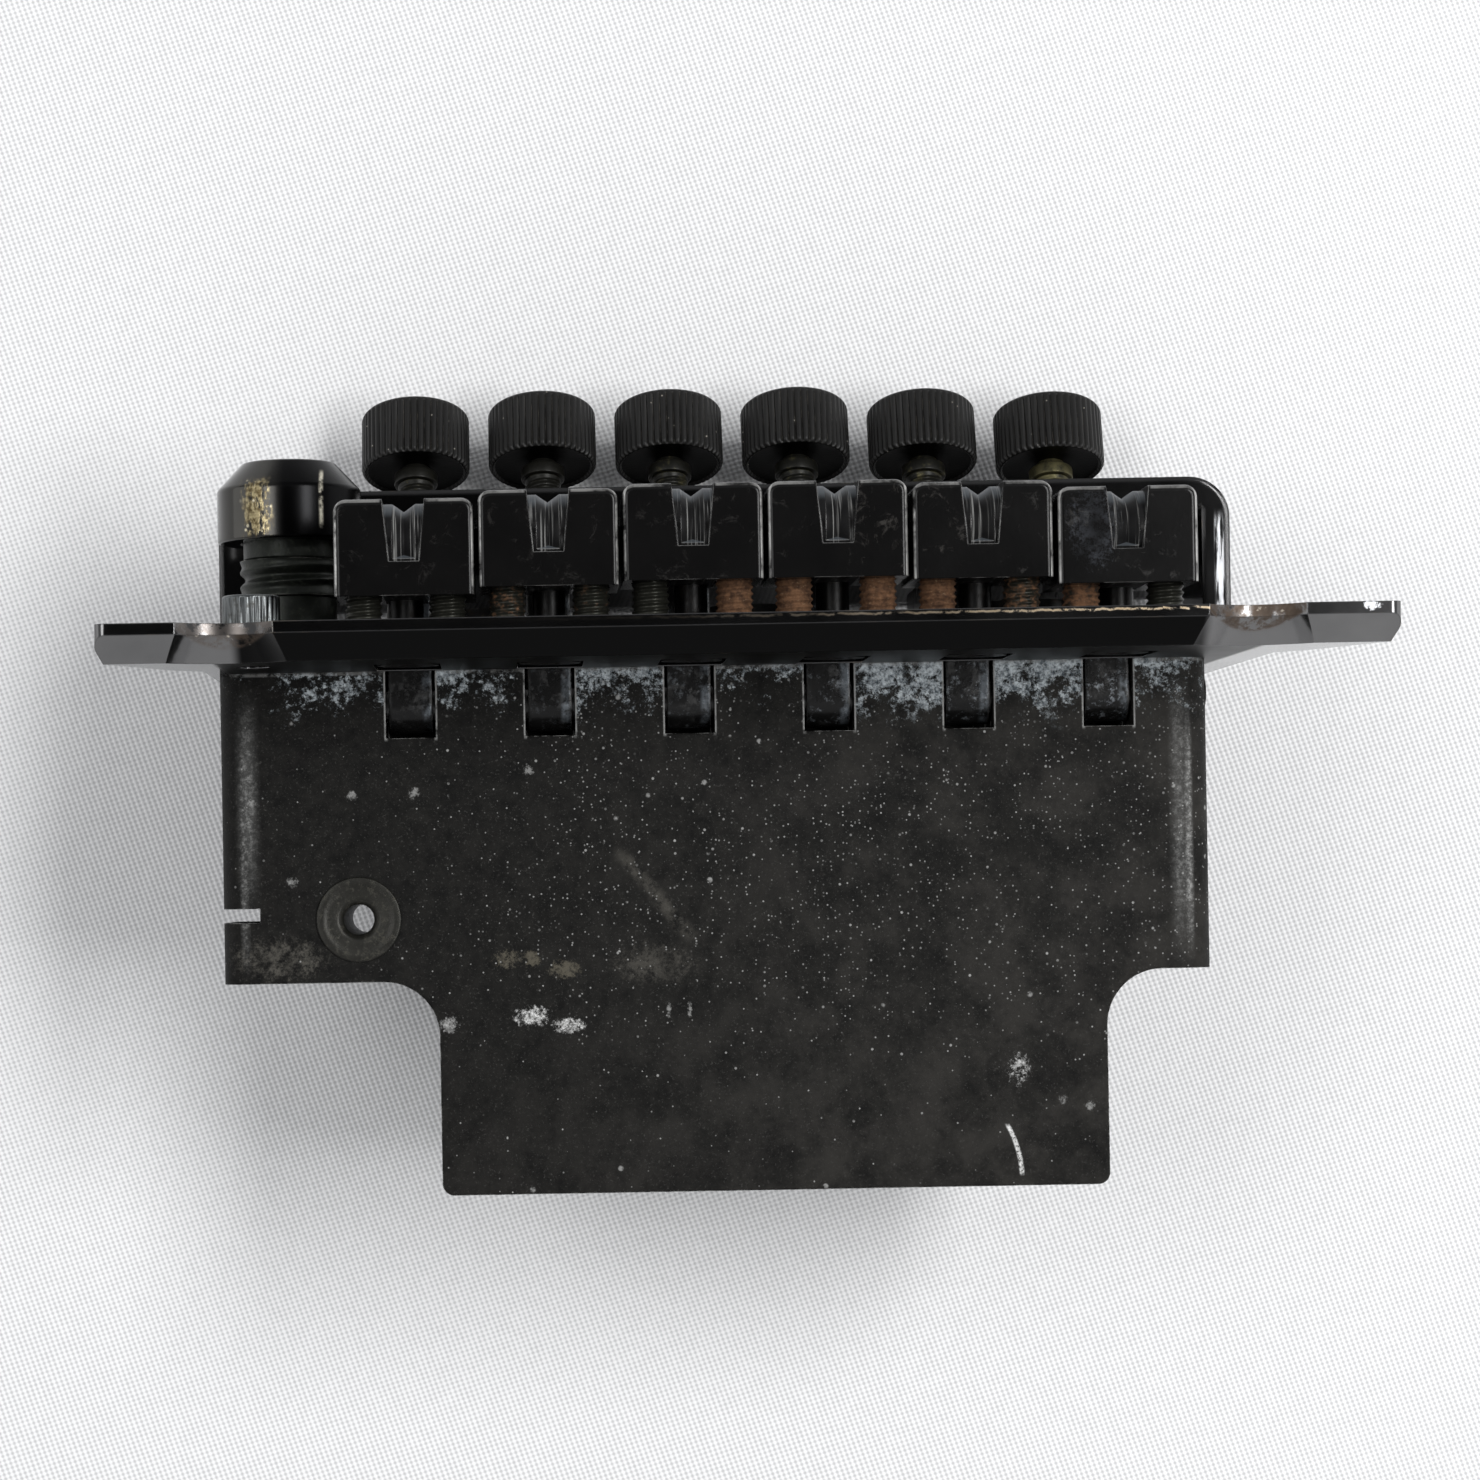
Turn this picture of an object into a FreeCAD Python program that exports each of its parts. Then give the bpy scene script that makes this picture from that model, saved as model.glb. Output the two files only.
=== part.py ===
"""Guitar tremolo bridge, as an assembly of separate pieces.

Millimetres. +X runs along the knife-edge line to the bass side, +Y to the rear of the
guitar and +Z up from its top. The origin is the middle of the line through the two knife
edges, level with the plate's upper face.
"""
import FreeCAD, Part
import math
import os

import Sketcher

Vector = FreeCAD.Vector

STRINGS = range(1, 7)
SCREW_ROWS = (-2, 0, 2)
SPRING_HOLES = (-2, -1, 0, 1, 2)
KNIFE_ANGLE = 45
GROOVE_SWEEP = 118
SOCKET_RINGS = range(2)

SIZES = {
    # Strings
    "string_pitch": 10.6,
    "string_centre": 2.3,
    "string_arc_radius": 430,
    # Base plate
    "post_spacing": 74,
    "notch_width": 7,
    "notch_depth": 1.75,
    "knife_land": 0.85,
    "plate_thickness": 2.8,
    "plate_rear": 49,
    "wing_reach_treble": 9.8,
    "wing_reach_bass": 10.8,
    "wing_taper": 5.2,
    "wing_rear": 9,
    "wing_shoulder": 2,
    "wing_corner": 0.8,
    "plate_overhang": 0.7,
    "plate_bass_side": 40.6,
    "plate_corner": 4,
    # Tuner arch
    "arch_front": 27,
    "arch_bend": 33.5,
    "arch_height": 12.2,
    "arch_wall": 2.2,
    "arch_deck": 2.4,
    "arch_shoulder": 3.2,
    # Sustain block
    "block_front": 14.85,
    "block_depth": 16,
    "block_bass": 36.5,
    "block_step_drop": 23.6,
    "block_drop": 39.9,
    "block_foot_treble": 22.4,
    "block_foot_bass": 28.3,
    "block_step_round": 4.2,
    "block_edge_round": 2.2,
    "block_corner": 0.9,
    "block_slit_height": 1.06,
    "block_slit_depth": 2.9,
    "block_slit_drop": 18.4,
    # Notches, levers and their shaft
    "lever_notch_width": 3.8,
    "lever_notch_drop": 5.1,
    "lever_width": 3.3,
    "lever_recess": 0.5,
    "lever_boss": 2.1,
    "lever_drop": 2.6,
    "lever_tail_low": 2.2,
    "lever_tail_high": 4.8,
    "lever_tail_over": 2.6,
    "lever_prong_top": 8,
    "lever_prong": 1.3,
    "ball_seat_radius": 2.1,
    "ball_seat_height": 5.8,
    "ball_seat_lip": 1,
    "string_gap": 1.3,
    "string_gap_depth": 0.5,
    "lever_round": 1.2,
    "shaft_diameter": 2.4,
    "shaft_margin": 3.2,
    "plug_length": 3,
    # Saddles
    "saddle_width": 10.3,
    "saddle_front": 4.4,
    "saddle_depth": 8.5,
    "saddle_tall": 7.1,
    "saddle_lift": 2.95,
    "saddle_top_depth": 4.8,
    "saddle_rear_tall": 4.4,
    "saddle_edge": 0.45,
    "saddle_corner": 0.95,
    "channel_width": 3.1,
    "channel_floor_width": 2.2,
    "channel_ramp_low": 2.5,
    "channel_crest": 6.95,
    "channel_ledge": 0.6,
    "channel_run": 2.4,
    "channel_groove": 0.85,
    "channel_groove_depth": 0.6,
    "height_screw_diameter": 2.8,
    "height_screw_spread": 6.2,
    "height_screw_back": 2.9,
    "height_screw_length": 8.5,
    "height_screw_key": 1.5,
    "height_screw_key_depth": 1.5,
    "lock_screw_diameter": 2.5,
    "lock_screw_back": 5.9,
    "lock_screw_reach": 5.6,
    "lock_head_diameter": 4.6,
    "lock_head_tall": 1.25,
    "lock_hole_depth": 5,
    "lock_recess": 1.4,
    "saddle_travel": 1.5,
    # Fine tuners
    "tuner_lean": 20,
    "tuner_tip_back": 39.4,
    "tuner_diameter": 3,
    "tuner_length": 11.1,
    "tuner_collar_diameter": 3.6,
    "tuner_collar_tall": 1,
    "tuner_stem": 3.4,
    "knob_diameter": 9.07,
    "knob_tall": 5.25,
    "knob_ribs": 48,
    "knob_rib_depth": 0.28,
    "knob_rib_width": 0.34,
    "knob_round": 0.6,
    "tuner_set_1": 0.3,
    "tuner_set_2": 0,
    "tuner_set_3": 0.05,
    "tuner_set_4": 0.05,
    "tuner_set_5": 0.4,
    "tuner_set_6": 0.9,
    # Lever springs
    "spring_start": 28.6,
    "spring_flat": 3.6,
    "spring_reach": 38.4,
    "spring_width": 3.8,
    "spring_leaf": 0.35,
    "spring_screw_diameter": 1.8,
    "spring_screw_head": 3,
    "spring_screw_head_tall": 0.7,
    # Arm holder
    "arm_gap": 0.51,
    "arm_wall": 1.75,
    "arm_back": 20,
    "arm_bore": 5.6,
    "socket_diameter": 7.2,
    "socket_top": 11,
    "socket_bottom": 17,
    "socket_floor": 1.5,
    "socket_ring_diameter": 7.8,
    "socket_ring_tall": 0.58,
    "socket_ring_low": 3.75,
    "collar_diameter": 11.1,
    "collar_low": 7.5,
    "collar_tall": 6.2,
    "collar_chamfer": 2.1,
    "collar_lip": 1.1,
    "clamp_screw_inset": 1.4,
    "clamp_screw_back": 7,
    "clamp_screw_diameter": 2.5,
    "clamp_head_diameter": 4.3,
    "clamp_head_tall": 2.5,
    "clamp_key": 2,
    "clamp_key_depth": 1.2,
    "clamp_ribs": 24,
    # Fasteners and rivet of the block
    "block_screw_back": 22.9,
    "block_screw_diameter": 4,
    "block_screw_length": 14,
    "block_head_diameter": 6.6,
    "block_head_tall": 2.2,
    "block_key": 2.5,
    "block_key_depth": 1.3,
    "rivet_side": 28.4,
    "rivet_drop": 18.8,
    "rivet_flange": 6.5,
    "rivet_flange_tall": 0.25,
    "rivet_tube": 3.8,
    "rivet_bore": 2.3,
    "spring_hole_diameter": 2.4,
    "spring_hole_depth": 9,
    "spring_hole_pitch": 8.4,
    # Fits
    "fit": 0.04,
    "seat": 0.02,
    "clearance": 0.3,
    "slot_room": 0.6,
    "tip_gap": 0.25,
}

doc = FreeCAD.newDocument("tremolo_bridge")
sheet = doc.addObject("Spreadsheet::Sheet", "Sizes")
for row, (alias, number) in enumerate(SIZES.items(), start=1):
    sheet.set(f"A{row}", str(number))
    sheet.setAlias(f"A{row}", alias)
doc.recompute()


class Dim:
    """A size that carries its present value and the sheet expression that gives it."""

    def __init__(self, value, text):
        self.value = float(value)
        self.text = text

    def __add__(self, other):
        other = dim(other)
        return Dim(self.value + other.value, f"({self.text} + {other.text})")

    def __sub__(self, other):
        other = dim(other)
        return Dim(self.value - other.value, f"({self.text} - {other.text})")

    def __mul__(self, other):
        other = dim(other)
        return Dim(self.value * other.value, f"({self.text} * {other.text})")

    def __truediv__(self, other):
        other = dim(other)
        return Dim(self.value / other.value, f"({self.text} / {other.text})")

    def __radd__(self, other):
        return dim(other) + self

    def __rsub__(self, other):
        return dim(other) - self

    def __rmul__(self, other):
        return dim(other) * self

    def __neg__(self):
        return Dim(-self.value, f"(-{self.text})")


def dim(thing):
    """A plain number as a size with no cell of its own."""
    return thing if isinstance(thing, Dim) else Dim(thing, f"({float(thing)})")


def tangent(angle):
    return Dim(math.tan(math.radians(angle.value)), f"tan({angle.text} * 1 deg)")


def cosine(angle):
    return Dim(math.cos(math.radians(angle.value)), f"cos({angle.text} * 1 deg)")


def sine(angle):
    return Dim(math.sin(math.radians(angle.value)), f"sin({angle.text} * 1 deg)")


class Sizes:
    """Every cell of the sheet as a size, by its alias."""


size = Sizes()
for alias in SIZES:
    setattr(size, alias, Dim(sheet.get(alias), f"Sizes.{alias}"))


def bind(thing, prop, value):
    """Tie one property of a document object to the sheet."""
    thing.setExpression(prop, dim(value).text)


def place(thing, x, y, z, lean=None):
    """Put a piece at a point, leaned back about its own X axis where a lean is given."""
    angle = lean.value if lean else 0.0
    turn = FreeCAD.Rotation(Vector(-1, 0, 0), angle)
    spot = Vector(dim(x).value, dim(y).value, dim(z).value)
    thing.Placement = FreeCAD.Placement(spot, turn)
    for axis, value in zip("xyz", (x, y, z)):
        bind(thing, f"Placement.Base.{axis}", value)
    if angle:
        bind(thing, "Placement.Rotation.Angle", lean)


def origin(body, role):
    return next(item for item in body.Origin.OriginFeatures if item.Role == role)


def arc_centre(start, end, radius, turns_left):
    """Centre of the shorter arc from start to end that turns left or right."""
    middle = (start + end) * 0.5
    chord = end - start
    rise = math.sqrt(max(radius ** 2 - chord.Length ** 2 / 4, 0))
    side = Vector(-chord.y, chord.x, 0).normalize()
    return middle + side * (rise if turns_left else -rise)


def circle(x, y, radius):
    return {"circle": (dim(x), dim(y), dim(radius))}


def rectangle(x_low, x_high, y_low, y_high):
    return [(x_low, y_low), (x_high, y_low), (x_high, y_high), (x_low, y_high)]


def hex_socket(across):
    corner = across / math.sqrt(3)
    turns = [math.radians(60 * side) for side in range(6)]
    return [(corner * math.cos(turn), corner * math.sin(turn)) for turn in turns]


def pin_point(sketch, index, vertex, x, y):
    """Hold one point of a sketch at its coordinates from the sheet."""
    for kind, value in (("DistanceX", dim(x)), ("DistanceY", dim(y))):
        rule = Sketcher.Constraint(kind, -1, 1, index, vertex, value.value)
        bind(sketch, f"Constraints[{sketch.addConstraint(rule)}]", value)


def add_circle(sketch, x, y, radius):
    ring = Part.Circle(Vector(x.value, y.value, 0), Vector(0, 0, 1), radius.value)
    index = sketch.addGeometry(ring, False)
    rule = Sketcher.Constraint("Radius", index, radius.value)
    bind(sketch, f"Constraints[{sketch.addConstraint(rule)}]", radius)
    pin_point(sketch, index, 3, x, y)


def add_outline(sketch, corners):
    """A closed outline. A corner (x, y, radius, turns_left) starts an arc to the next one."""
    spots = [Vector(dim(c[0]).value, dim(c[1]).value, 0) for c in corners]
    first = sketch.GeometryCount
    ends = []
    for number, corner in enumerate(corners):
        start = spots[number]
        end = spots[(number + 1) % len(spots)]
        if len(corner) == 2:
            sketch.addGeometry(Part.LineSegment(start, end), False)
            ends.append((1, 2))
            continue
        radius, turns_left = dim(corner[2]), corner[3]
        centre = arc_centre(start, end, radius.value, turns_left)
        ring = Part.Circle(centre, Vector(0, 0, 1), radius.value)
        low, high = (start, end) if turns_left else (end, start)
        angles = [math.atan2(p.y - centre.y, p.x - centre.x) for p in (low, high)]
        index = sketch.addGeometry(Part.ArcOfCircle(ring, *angles), False)
        rule = Sketcher.Constraint("Radius", index, radius.value)
        bind(sketch, f"Constraints[{sketch.addConstraint(rule)}]", radius)
        ends.append((1, 2) if turns_left else (2, 1))
    for number, corner in enumerate(corners):
        after = (number + 1) % len(corners)
        joint = (first + number, ends[number][1], first + after, ends[after][0])
        sketch.addConstraint(Sketcher.Constraint("Coincident", *joint))
        pin_point(sketch, first + number, ends[number][0], corner[0], corner[1])


def draw(body, name, role, loops, offset=0, lean=None, shift=0):
    """A sketch on one of the body's origin planes, moved along its normal by offset."""
    sketch = body.newObject("Sketcher::SketchObject", name + "_sketch")
    sketch.AttachmentSupport = [(origin(body, role), "")]
    sketch.MapMode = "FlatFace"
    if lean:
        turn = FreeCAD.Rotation(Vector(-1, 0, 0), lean.value)
        sketch.AttachmentOffset = FreeCAD.Placement(Vector(), turn)
        bind(sketch, "AttachmentOffset.Rotation.Angle", lean)
    bind(sketch, "AttachmentOffset.Base.z", offset)
    bind(sketch, "AttachmentOffset.Base.y", shift)
    for loop in loops:
        if isinstance(loop, dict):
            add_circle(sketch, *loop["circle"])
        else:
            add_outline(sketch, loop)
    return sketch


def new_body(name):
    body = doc.addObject("PartDesign::Body", name)
    body.Label = name
    return body


def pad(body, name, role, loops, length, offset=0, reverse=False):
    feature = body.newObject("PartDesign::Pad", name)
    feature.Profile = draw(body, name, role, loops, offset)
    feature.Reversed = reverse
    bind(feature, "Length", length)
    doc.recompute()


def check_cut(body, name, before):
    doc.recompute()
    if not body.Shape.Volume < before - 1e-4:
        raise RuntimeError(f"{body.Label}: {name} removed nothing")


def pocket(body, name, role, loops, length, offset=0, reverse=False, lean=None, shift=0, taper=0):
    before = body.Shape.Volume
    feature = body.newObject("PartDesign::Pocket", name)
    feature.Profile = draw(body, name, role, loops, offset, lean, shift)
    feature.Reversed = reverse
    feature.TaperAngle = taper
    bind(feature, "Length", length)
    check_cut(body, name, before)
    return feature


def spin(body, name, loops):
    """Turn an outline of (radius, height) about the body's Z axis."""
    feature = body.newObject("PartDesign::Revolution", name)
    feature.Profile = draw(body, name, "XZ_Plane", loops)
    feature.ReferenceAxis = (origin(body, "Z_Axis"), [""])
    feature.Angle = 360
    doc.recompute()


def soften(body, name, chosen, amount):
    """Round the edges of which every sampled point passes the test."""
    base = body.Tip
    names = []
    for number, edge in enumerate(base.Shape.Edges, start=1):
        low, high = edge.ParameterRange
        points = [edge.valueAt(low + (high - low) * share) for share in (0, 0.5, 1)]
        if all(chosen(point) for point in points):
            names.append(f"Edge{number}")
    if not names:
        raise RuntimeError(f"{body.Label}: {name} found no edge")
    feature = body.newObject("PartDesign::Fillet", name)
    feature.Base = (base, names)
    bind(feature, "Radius", amount)
    doc.recompute()


def near(value, target):
    return abs(value - dim(target).value) < 1e-3


def solid(kind, name, sizes, x=0, y=0, z=0):
    """A primitive with its sizes and place bound to the sheet."""
    shape = doc.addObject("Part::" + kind, name)
    for prop, value in sizes.items():
        bind(shape, prop, value)
    for axis, value in zip("xyz", (x, y, z)):
        bind(shape, f"Placement.Base.{axis}", value)
    return shape


def rod(name, diameter, length, x=0, y=0, z=0):
    return solid("Cylinder", name, {"Radius": diameter / 2, "Height": length}, x, y, z)


def hexagon(name, across, length, x=0, y=0, z=0):
    corner = across / math.sqrt(3)
    prism = solid("Prism", name, {"Circumradius": corner, "Height": length}, x, y, z)
    prism.Polygon = 6
    return prism


def join(name, pieces):
    whole = doc.addObject("Part::MultiFuse", name)
    whole.Shapes = pieces
    return whole


def cut(name, base, tool):
    rest = doc.addObject("Part::Cut", name)
    rest.Base = base
    rest.Tool = tool
    return rest


def group(name, pieces):
    """Several like solids that share one node."""
    whole = doc.addObject("Part::Compound", name)
    whole.Label = name
    whole.Links = pieces
    return whole


# Places that several pieces share

front_edge = -size.notch_depth
notch_radius = (size.notch_width * size.notch_width / 4 + size.notch_depth * size.notch_depth) / (
    2 * size.notch_depth
)
plate_low = -size.plate_thickness
block_foot = plate_low - size.block_drop
pivot_y = size.block_front + size.lever_recess + size.lever_boss
pivot_z = plate_low - size.lever_drop
lever_reach = size.tuner_tip_back - pivot_y
arch_rear_height = size.arch_height - (size.plate_rear - size.arch_bend) * tangent(size.tuner_lean)
clamp_screw_x = size.clamp_screw_inset - size.post_spacing / 2
collar_top = size.collar_low + size.collar_tall
spring_screw_back = size.spring_start + size.spring_flat / 2
lock_slot_half = size.lock_screw_diameter / 2 + size.fit * 4
height_hole = size.height_screw_diameter / 2 + size.fit


def string_x(number):
    return size.string_centre + size.string_pitch * (number - 3.5)


shaft_end = string_x(1) - size.lever_notch_width / 2 - size.shaft_margin
arm_x = shaft_end - size.socket_diameter / 2 - size.fit - size.arm_gap
block_treble = size.socket_diameter / 2 + size.arm_wall - arm_x
plate_treble = block_treble + size.plate_overhang


def saddle_bottom(number):
    """Saddles stand on an arc across the strings, highest in the middle."""
    across = size.string_pitch * (number - 3.5)
    return size.saddle_lift - across * across / (2 * size.string_arc_radius)


def tuner_set(number):
    """How far a tuner is screwed in past its middle setting."""
    return getattr(size, f"tuner_set_{number}")


def lever_angle(number):
    """Degrees by which a tuner's setting has rocked its lever, tail down."""
    return tuner_set(number) * cosine(size.tuner_lean) / lever_reach * (180 / math.pi)


pieces = []


def finish(piece):
    pieces.append(piece)


def make_base_plate():
    """Knife-edge plate with two tapering wings and the arch that carries the tuners."""
    body = new_body("base_plate")
    treble_tip = size.post_spacing / 2 + size.wing_reach_treble
    bass_tip = size.post_spacing / 2 + size.wing_reach_bass
    shoulder = size.wing_rear + size.wing_shoulder
    floor = [
        (-treble_tip, front_edge),
        (bass_tip, front_edge),
        (bass_tip - size.wing_taper, size.wing_rear),
        (size.plate_bass_side, shoulder),
        (size.plate_bass_side, size.plate_rear),
        (-plate_treble, size.plate_rear),
        (-plate_treble, shoulder),
        (size.wing_taper - treble_tip, size.wing_rear),
    ]
    pad(body, "floor", "XY_Plane", [floor], size.plate_thickness, plate_low)
    soften(
        body, "rear_corners", lambda p: near(p.y, size.plate_rear) and abs(p.x) > 1, size.plate_corner
    )

    def on_tip(point):
        return near(point.x, -treble_tip) or near(point.x, bass_tip)

    soften(body, "wing_tips", lambda p: on_tip(p) and near(p.y, front_edge), size.wing_corner)
    bevel = size.plate_thickness - size.knife_land
    under = [(front_edge, -size.knife_land), (front_edge, plate_low), (front_edge + bevel, plate_low)]
    pocket(body, "front_bevel", "YZ_Plane", [under], treble_tip + bass_tip, bass_tip)
    posts = [size.post_spacing / -2, size.post_spacing / 2]
    notches = [circle(x, -notch_radius, notch_radius) for x in posts]
    pocket(body, "post_notches", "XY_Plane", notches, size.plate_thickness)
    pocket(
        body, "knife_bevels", "XY_Plane", notches, bevel, -size.knife_land, taper=KNIFE_ANGLE
    )

    arch_span = plate_treble + size.plate_bass_side
    deck = [
        (size.arch_front, size.arch_height - size.arch_deck),
        (size.arch_bend, size.arch_height - size.arch_deck),
        (size.plate_rear, arch_rear_height - size.arch_deck),
        (size.plate_rear, arch_rear_height),
        (size.arch_bend, size.arch_height),
        (size.arch_front, size.arch_height),
    ]
    pad(body, "deck", "YZ_Plane", [deck], arch_span, -plate_treble)
    wall_rear = size.plate_rear - size.plate_corner
    wall = [
        (size.arch_front, 0),
        (wall_rear, 0),
        (wall_rear, arch_rear_height + size.plate_corner * tangent(size.tuner_lean)),
        (size.arch_bend, size.arch_height),
        (size.arch_front, size.arch_height),
    ]
    pad(body, "treble_wall", "YZ_Plane", [wall], size.arch_wall, -plate_treble)
    pad(body, "bass_wall", "YZ_Plane", [wall], size.arch_wall, size.plate_bass_side - size.arch_wall)

    def on_side(point):
        return near(point.x, -plate_treble) or near(point.x, size.plate_bass_side)

    def on_top(point):
        slope = size.arch_height.value - arch_rear_height.value
        run = max(point.y - size.arch_bend.value, 0) / (size.plate_rear.value - size.arch_bend.value)
        return near(point.z, size.arch_height.value - slope * run)

    soften(body, "arch_shoulders", lambda p: on_side(p) and on_top(p), size.arch_shoulder)

    holes = [circle(string_x(n), 0, size.tuner_diameter / 2 + size.fit) for n in STRINGS]
    tip_height = size.lever_tail_high + size.tip_gap
    pocket(
        body,
        "tuner_holes",
        "XY_Plane",
        holes,
        size.tuner_length * cosine(size.tuner_lean),
        tip_height + size.tuner_length,
        lean=size.tuner_lean,
        shift=size.tuner_tip_back + size.tuner_length * tangent(size.tuner_lean),
    )
    lever_half = size.lever_notch_width / 2
    lever_slots = [
        rectangle(
            string_x(n) - lever_half,
            string_x(n) + lever_half,
            pivot_y - size.lever_boss - size.slot_room,
            pivot_y + size.lever_boss + size.slot_room,
        )
        for n in STRINGS
    ]
    pocket(body, "lever_slots", "XY_Plane", lever_slots, size.plate_thickness)
    lock_y = size.saddle_front + size.lock_screw_back

    def lock_slots(half_width):
        reach = size.saddle_travel + half_width
        return [
            rectangle(
                string_x(n) - half_width, string_x(n) + half_width, lock_y - reach, lock_y + reach
            )
            for n in STRINGS
        ]

    pocket(body, "lock_slots", "XY_Plane", lock_slots(lock_slot_half), size.plate_thickness)
    recess_half = size.lock_head_diameter / 2 + size.fit * 4
    pocket(
        body, "lock_recesses", "XY_Plane", lock_slots(recess_half), size.lock_recess, plate_low, True
    )
    rows = [size.string_centre + size.string_pitch * row for row in SCREW_ROWS]
    drilled = [circle(x, size.block_screw_back, size.block_screw_diameter / 2 + size.fit) for x in rows]
    drilled.append(circle(arm_x, size.arm_back, size.socket_diameter / 2 + size.fit))
    drilled.append(
        circle(
            clamp_screw_x,
            size.clamp_screw_back,
            size.clamp_screw_diameter / 2 + size.seat,
        )
    )
    spring_hole = size.spring_screw_diameter / 2 + size.seat
    drilled += [circle(string_x(n), spring_screw_back, spring_hole) for n in STRINGS]
    pocket(body, "drilled_holes", "XY_Plane", drilled, size.plate_thickness)
    finish(body)


def make_sustain_block():
    """Stepped inertia block with lever notches along its top front edge."""
    body = new_body("sustain_block")
    step = plate_low - size.block_step_drop
    face = [
        (-block_treble, plate_low),
        (-block_treble, step),
        (-size.block_foot_treble, step),
        (-size.block_foot_treble, block_foot),
        (size.block_foot_bass, block_foot),
        (size.block_foot_bass, step),
        (size.block_bass, step),
        (size.block_bass, plate_low),
    ]
    pad(body, "casting", "XZ_Plane", [face], size.block_depth, -size.block_front, True)

    def upright(point, x):
        return near(point.x, x)

    inner = (-size.block_foot_treble, size.block_foot_bass)
    outer = (-block_treble, size.block_bass)
    soften(
        body,
        "step_rounds",
        lambda p: near(p.z, step) and any(upright(p, x) for x in inner),
        size.block_step_round,
    )
    soften(
        body,
        "front_rounds",
        lambda p: near(p.y, size.block_front) and any(upright(p, x) for x in outer),
        size.block_edge_round,
    )
    soften(
        body,
        "foot_corners",
        lambda p: near(p.z, block_foot) and any(upright(p, x) for x in inner),
        size.block_corner,
    )
    half = size.lever_notch_width / 2
    notch_back = pivot_y + size.lever_boss + size.clearance - size.block_front
    notches = [
        rectangle(
            string_x(n) - half, string_x(n) + half, plate_low - size.lever_notch_drop, plate_low
        )
        for n in STRINGS
    ]
    pocket(body, "lever_notches", "XZ_Plane", notches, notch_back, -size.block_front)
    shaft = [circle(pivot_y, pivot_z, size.shaft_diameter / 2 + size.fit)]
    pocket(body, "shaft_hole", "YZ_Plane", shaft, size.block_bass - shaft_end, size.block_bass)
    socket = [circle(arm_x, size.arm_back, size.socket_diameter / 2 + size.fit)]
    socket_depth = size.socket_bottom - size.plate_thickness + size.seat
    pocket(body, "socket_hole", "XY_Plane", socket, socket_depth, plate_low)
    rows = [size.string_centre + size.string_pitch * row for row in SCREW_ROWS]
    screws = [circle(x, size.block_screw_back, size.block_screw_diameter / 2 + size.fit) for x in rows]
    screw_depth = size.block_screw_length - size.plate_thickness + size.clearance
    pocket(body, "screw_holes", "XY_Plane", screws, screw_depth, plate_low)
    slit_level = plate_low - size.block_slit_drop
    slit_half = size.block_slit_height / 2
    slit = [
        rectangle(
            -block_treble - size.clearance,
            -block_treble + size.block_slit_depth,
            slit_level - slit_half,
            slit_level + slit_half,
        )
    ]
    pocket(body, "side_slit", "XZ_Plane", slit, size.block_depth, -size.block_front)
    rivet = [circle(-size.rivet_side, plate_low - size.rivet_drop, size.rivet_tube / 2 + size.seat)]
    pocket(body, "rivet_hole", "XZ_Plane", rivet, size.block_depth, -size.block_front)
    foot_middle = (size.block_foot_bass - size.block_foot_treble) / 2
    springs = [
        circle(
            foot_middle + size.spring_hole_pitch * place_number,
            size.block_front + size.block_depth / 2,
            size.spring_hole_diameter / 2,
        )
        for place_number in SPRING_HOLES
    ]
    pocket(body, "spring_holes", "XY_Plane", springs, size.spring_hole_depth, block_foot, True)
    finish(body)


def make_saddle(number):
    """Saddle block with a tapering string channel that ramps up from its front to a crest."""
    body = new_body(f"saddle_{number}")
    half = size.saddle_width / 2
    side = [
        (0, 0),
        (size.saddle_depth, 0),
        (size.saddle_depth, size.saddle_rear_tall),
        (size.saddle_top_depth, size.saddle_tall),
        (0, size.saddle_tall),
    ]
    pad(body, "saddle_block", "YZ_Plane", [side], size.saddle_width, -half)

    def top_side(point):
        return near(abs(point.x), half) and near(point.z, size.saddle_tall)

    def front_rim(point):
        """The front edges but the bottom one, so that the rim runs round both top corners."""
        from_side = dim(half).value - abs(point.x)
        from_top = dim(size.saddle_tall).value - point.z
        return near(point.y, 0) and min(from_side, from_top) < dim(size.saddle_corner).value * 0.3

    soften(body, "top_sides", top_side, size.saddle_corner)
    soften(body, "front_rim", front_rim, size.saddle_edge)
    floor_half = size.channel_floor_width / 2
    mouth_half = size.channel_width / 2
    slot = [
        (-floor_half, size.channel_ramp_low),
        (floor_half, size.channel_ramp_low),
        (mouth_half, size.saddle_tall),
        (-mouth_half, size.saddle_tall),
    ]
    pocket(body, "channel", "XZ_Plane", [slot], size.saddle_depth)
    rise = size.channel_crest - size.channel_ramp_low
    bend = (size.channel_run * size.channel_run + rise * rise) / (rise * 2)
    crest_front = size.channel_ledge + size.channel_run
    rear_run = size.saddle_depth - size.saddle_top_depth
    rear_fall = size.saddle_tall - size.saddle_rear_tall
    crest_back = size.saddle_top_depth + (size.saddle_tall - size.channel_crest) * rear_run / rear_fall
    ramp_side = [
        (size.channel_ledge, size.channel_ramp_low, bend, False),
        (crest_front, size.channel_crest),
        (crest_back, size.channel_crest),
        (size.saddle_depth, size.saddle_rear_tall),
        (size.saddle_depth, size.channel_ramp_low),
    ]
    pad(body, "channel_ramp", "YZ_Plane", [ramp_side], size.channel_width, -mouth_half)
    string_groove(body, bend, crest_front)
    screws = [
        circle(side_sign * size.height_screw_spread / 2, size.height_screw_back, height_hole)
        for side_sign in (-1, 1)
    ]
    pocket(body, "height_holes", "XY_Plane", screws, size.saddle_tall, size.saddle_tall)
    lock = [circle(0, size.lock_screw_back, size.lock_screw_diameter / 2 + size.fit)]
    pocket(body, "lock_hole", "XY_Plane", lock, size.lock_hole_depth, 0, True)
    place(body, string_x(number), size.saddle_front, saddle_bottom(number))
    finish(body)


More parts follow.
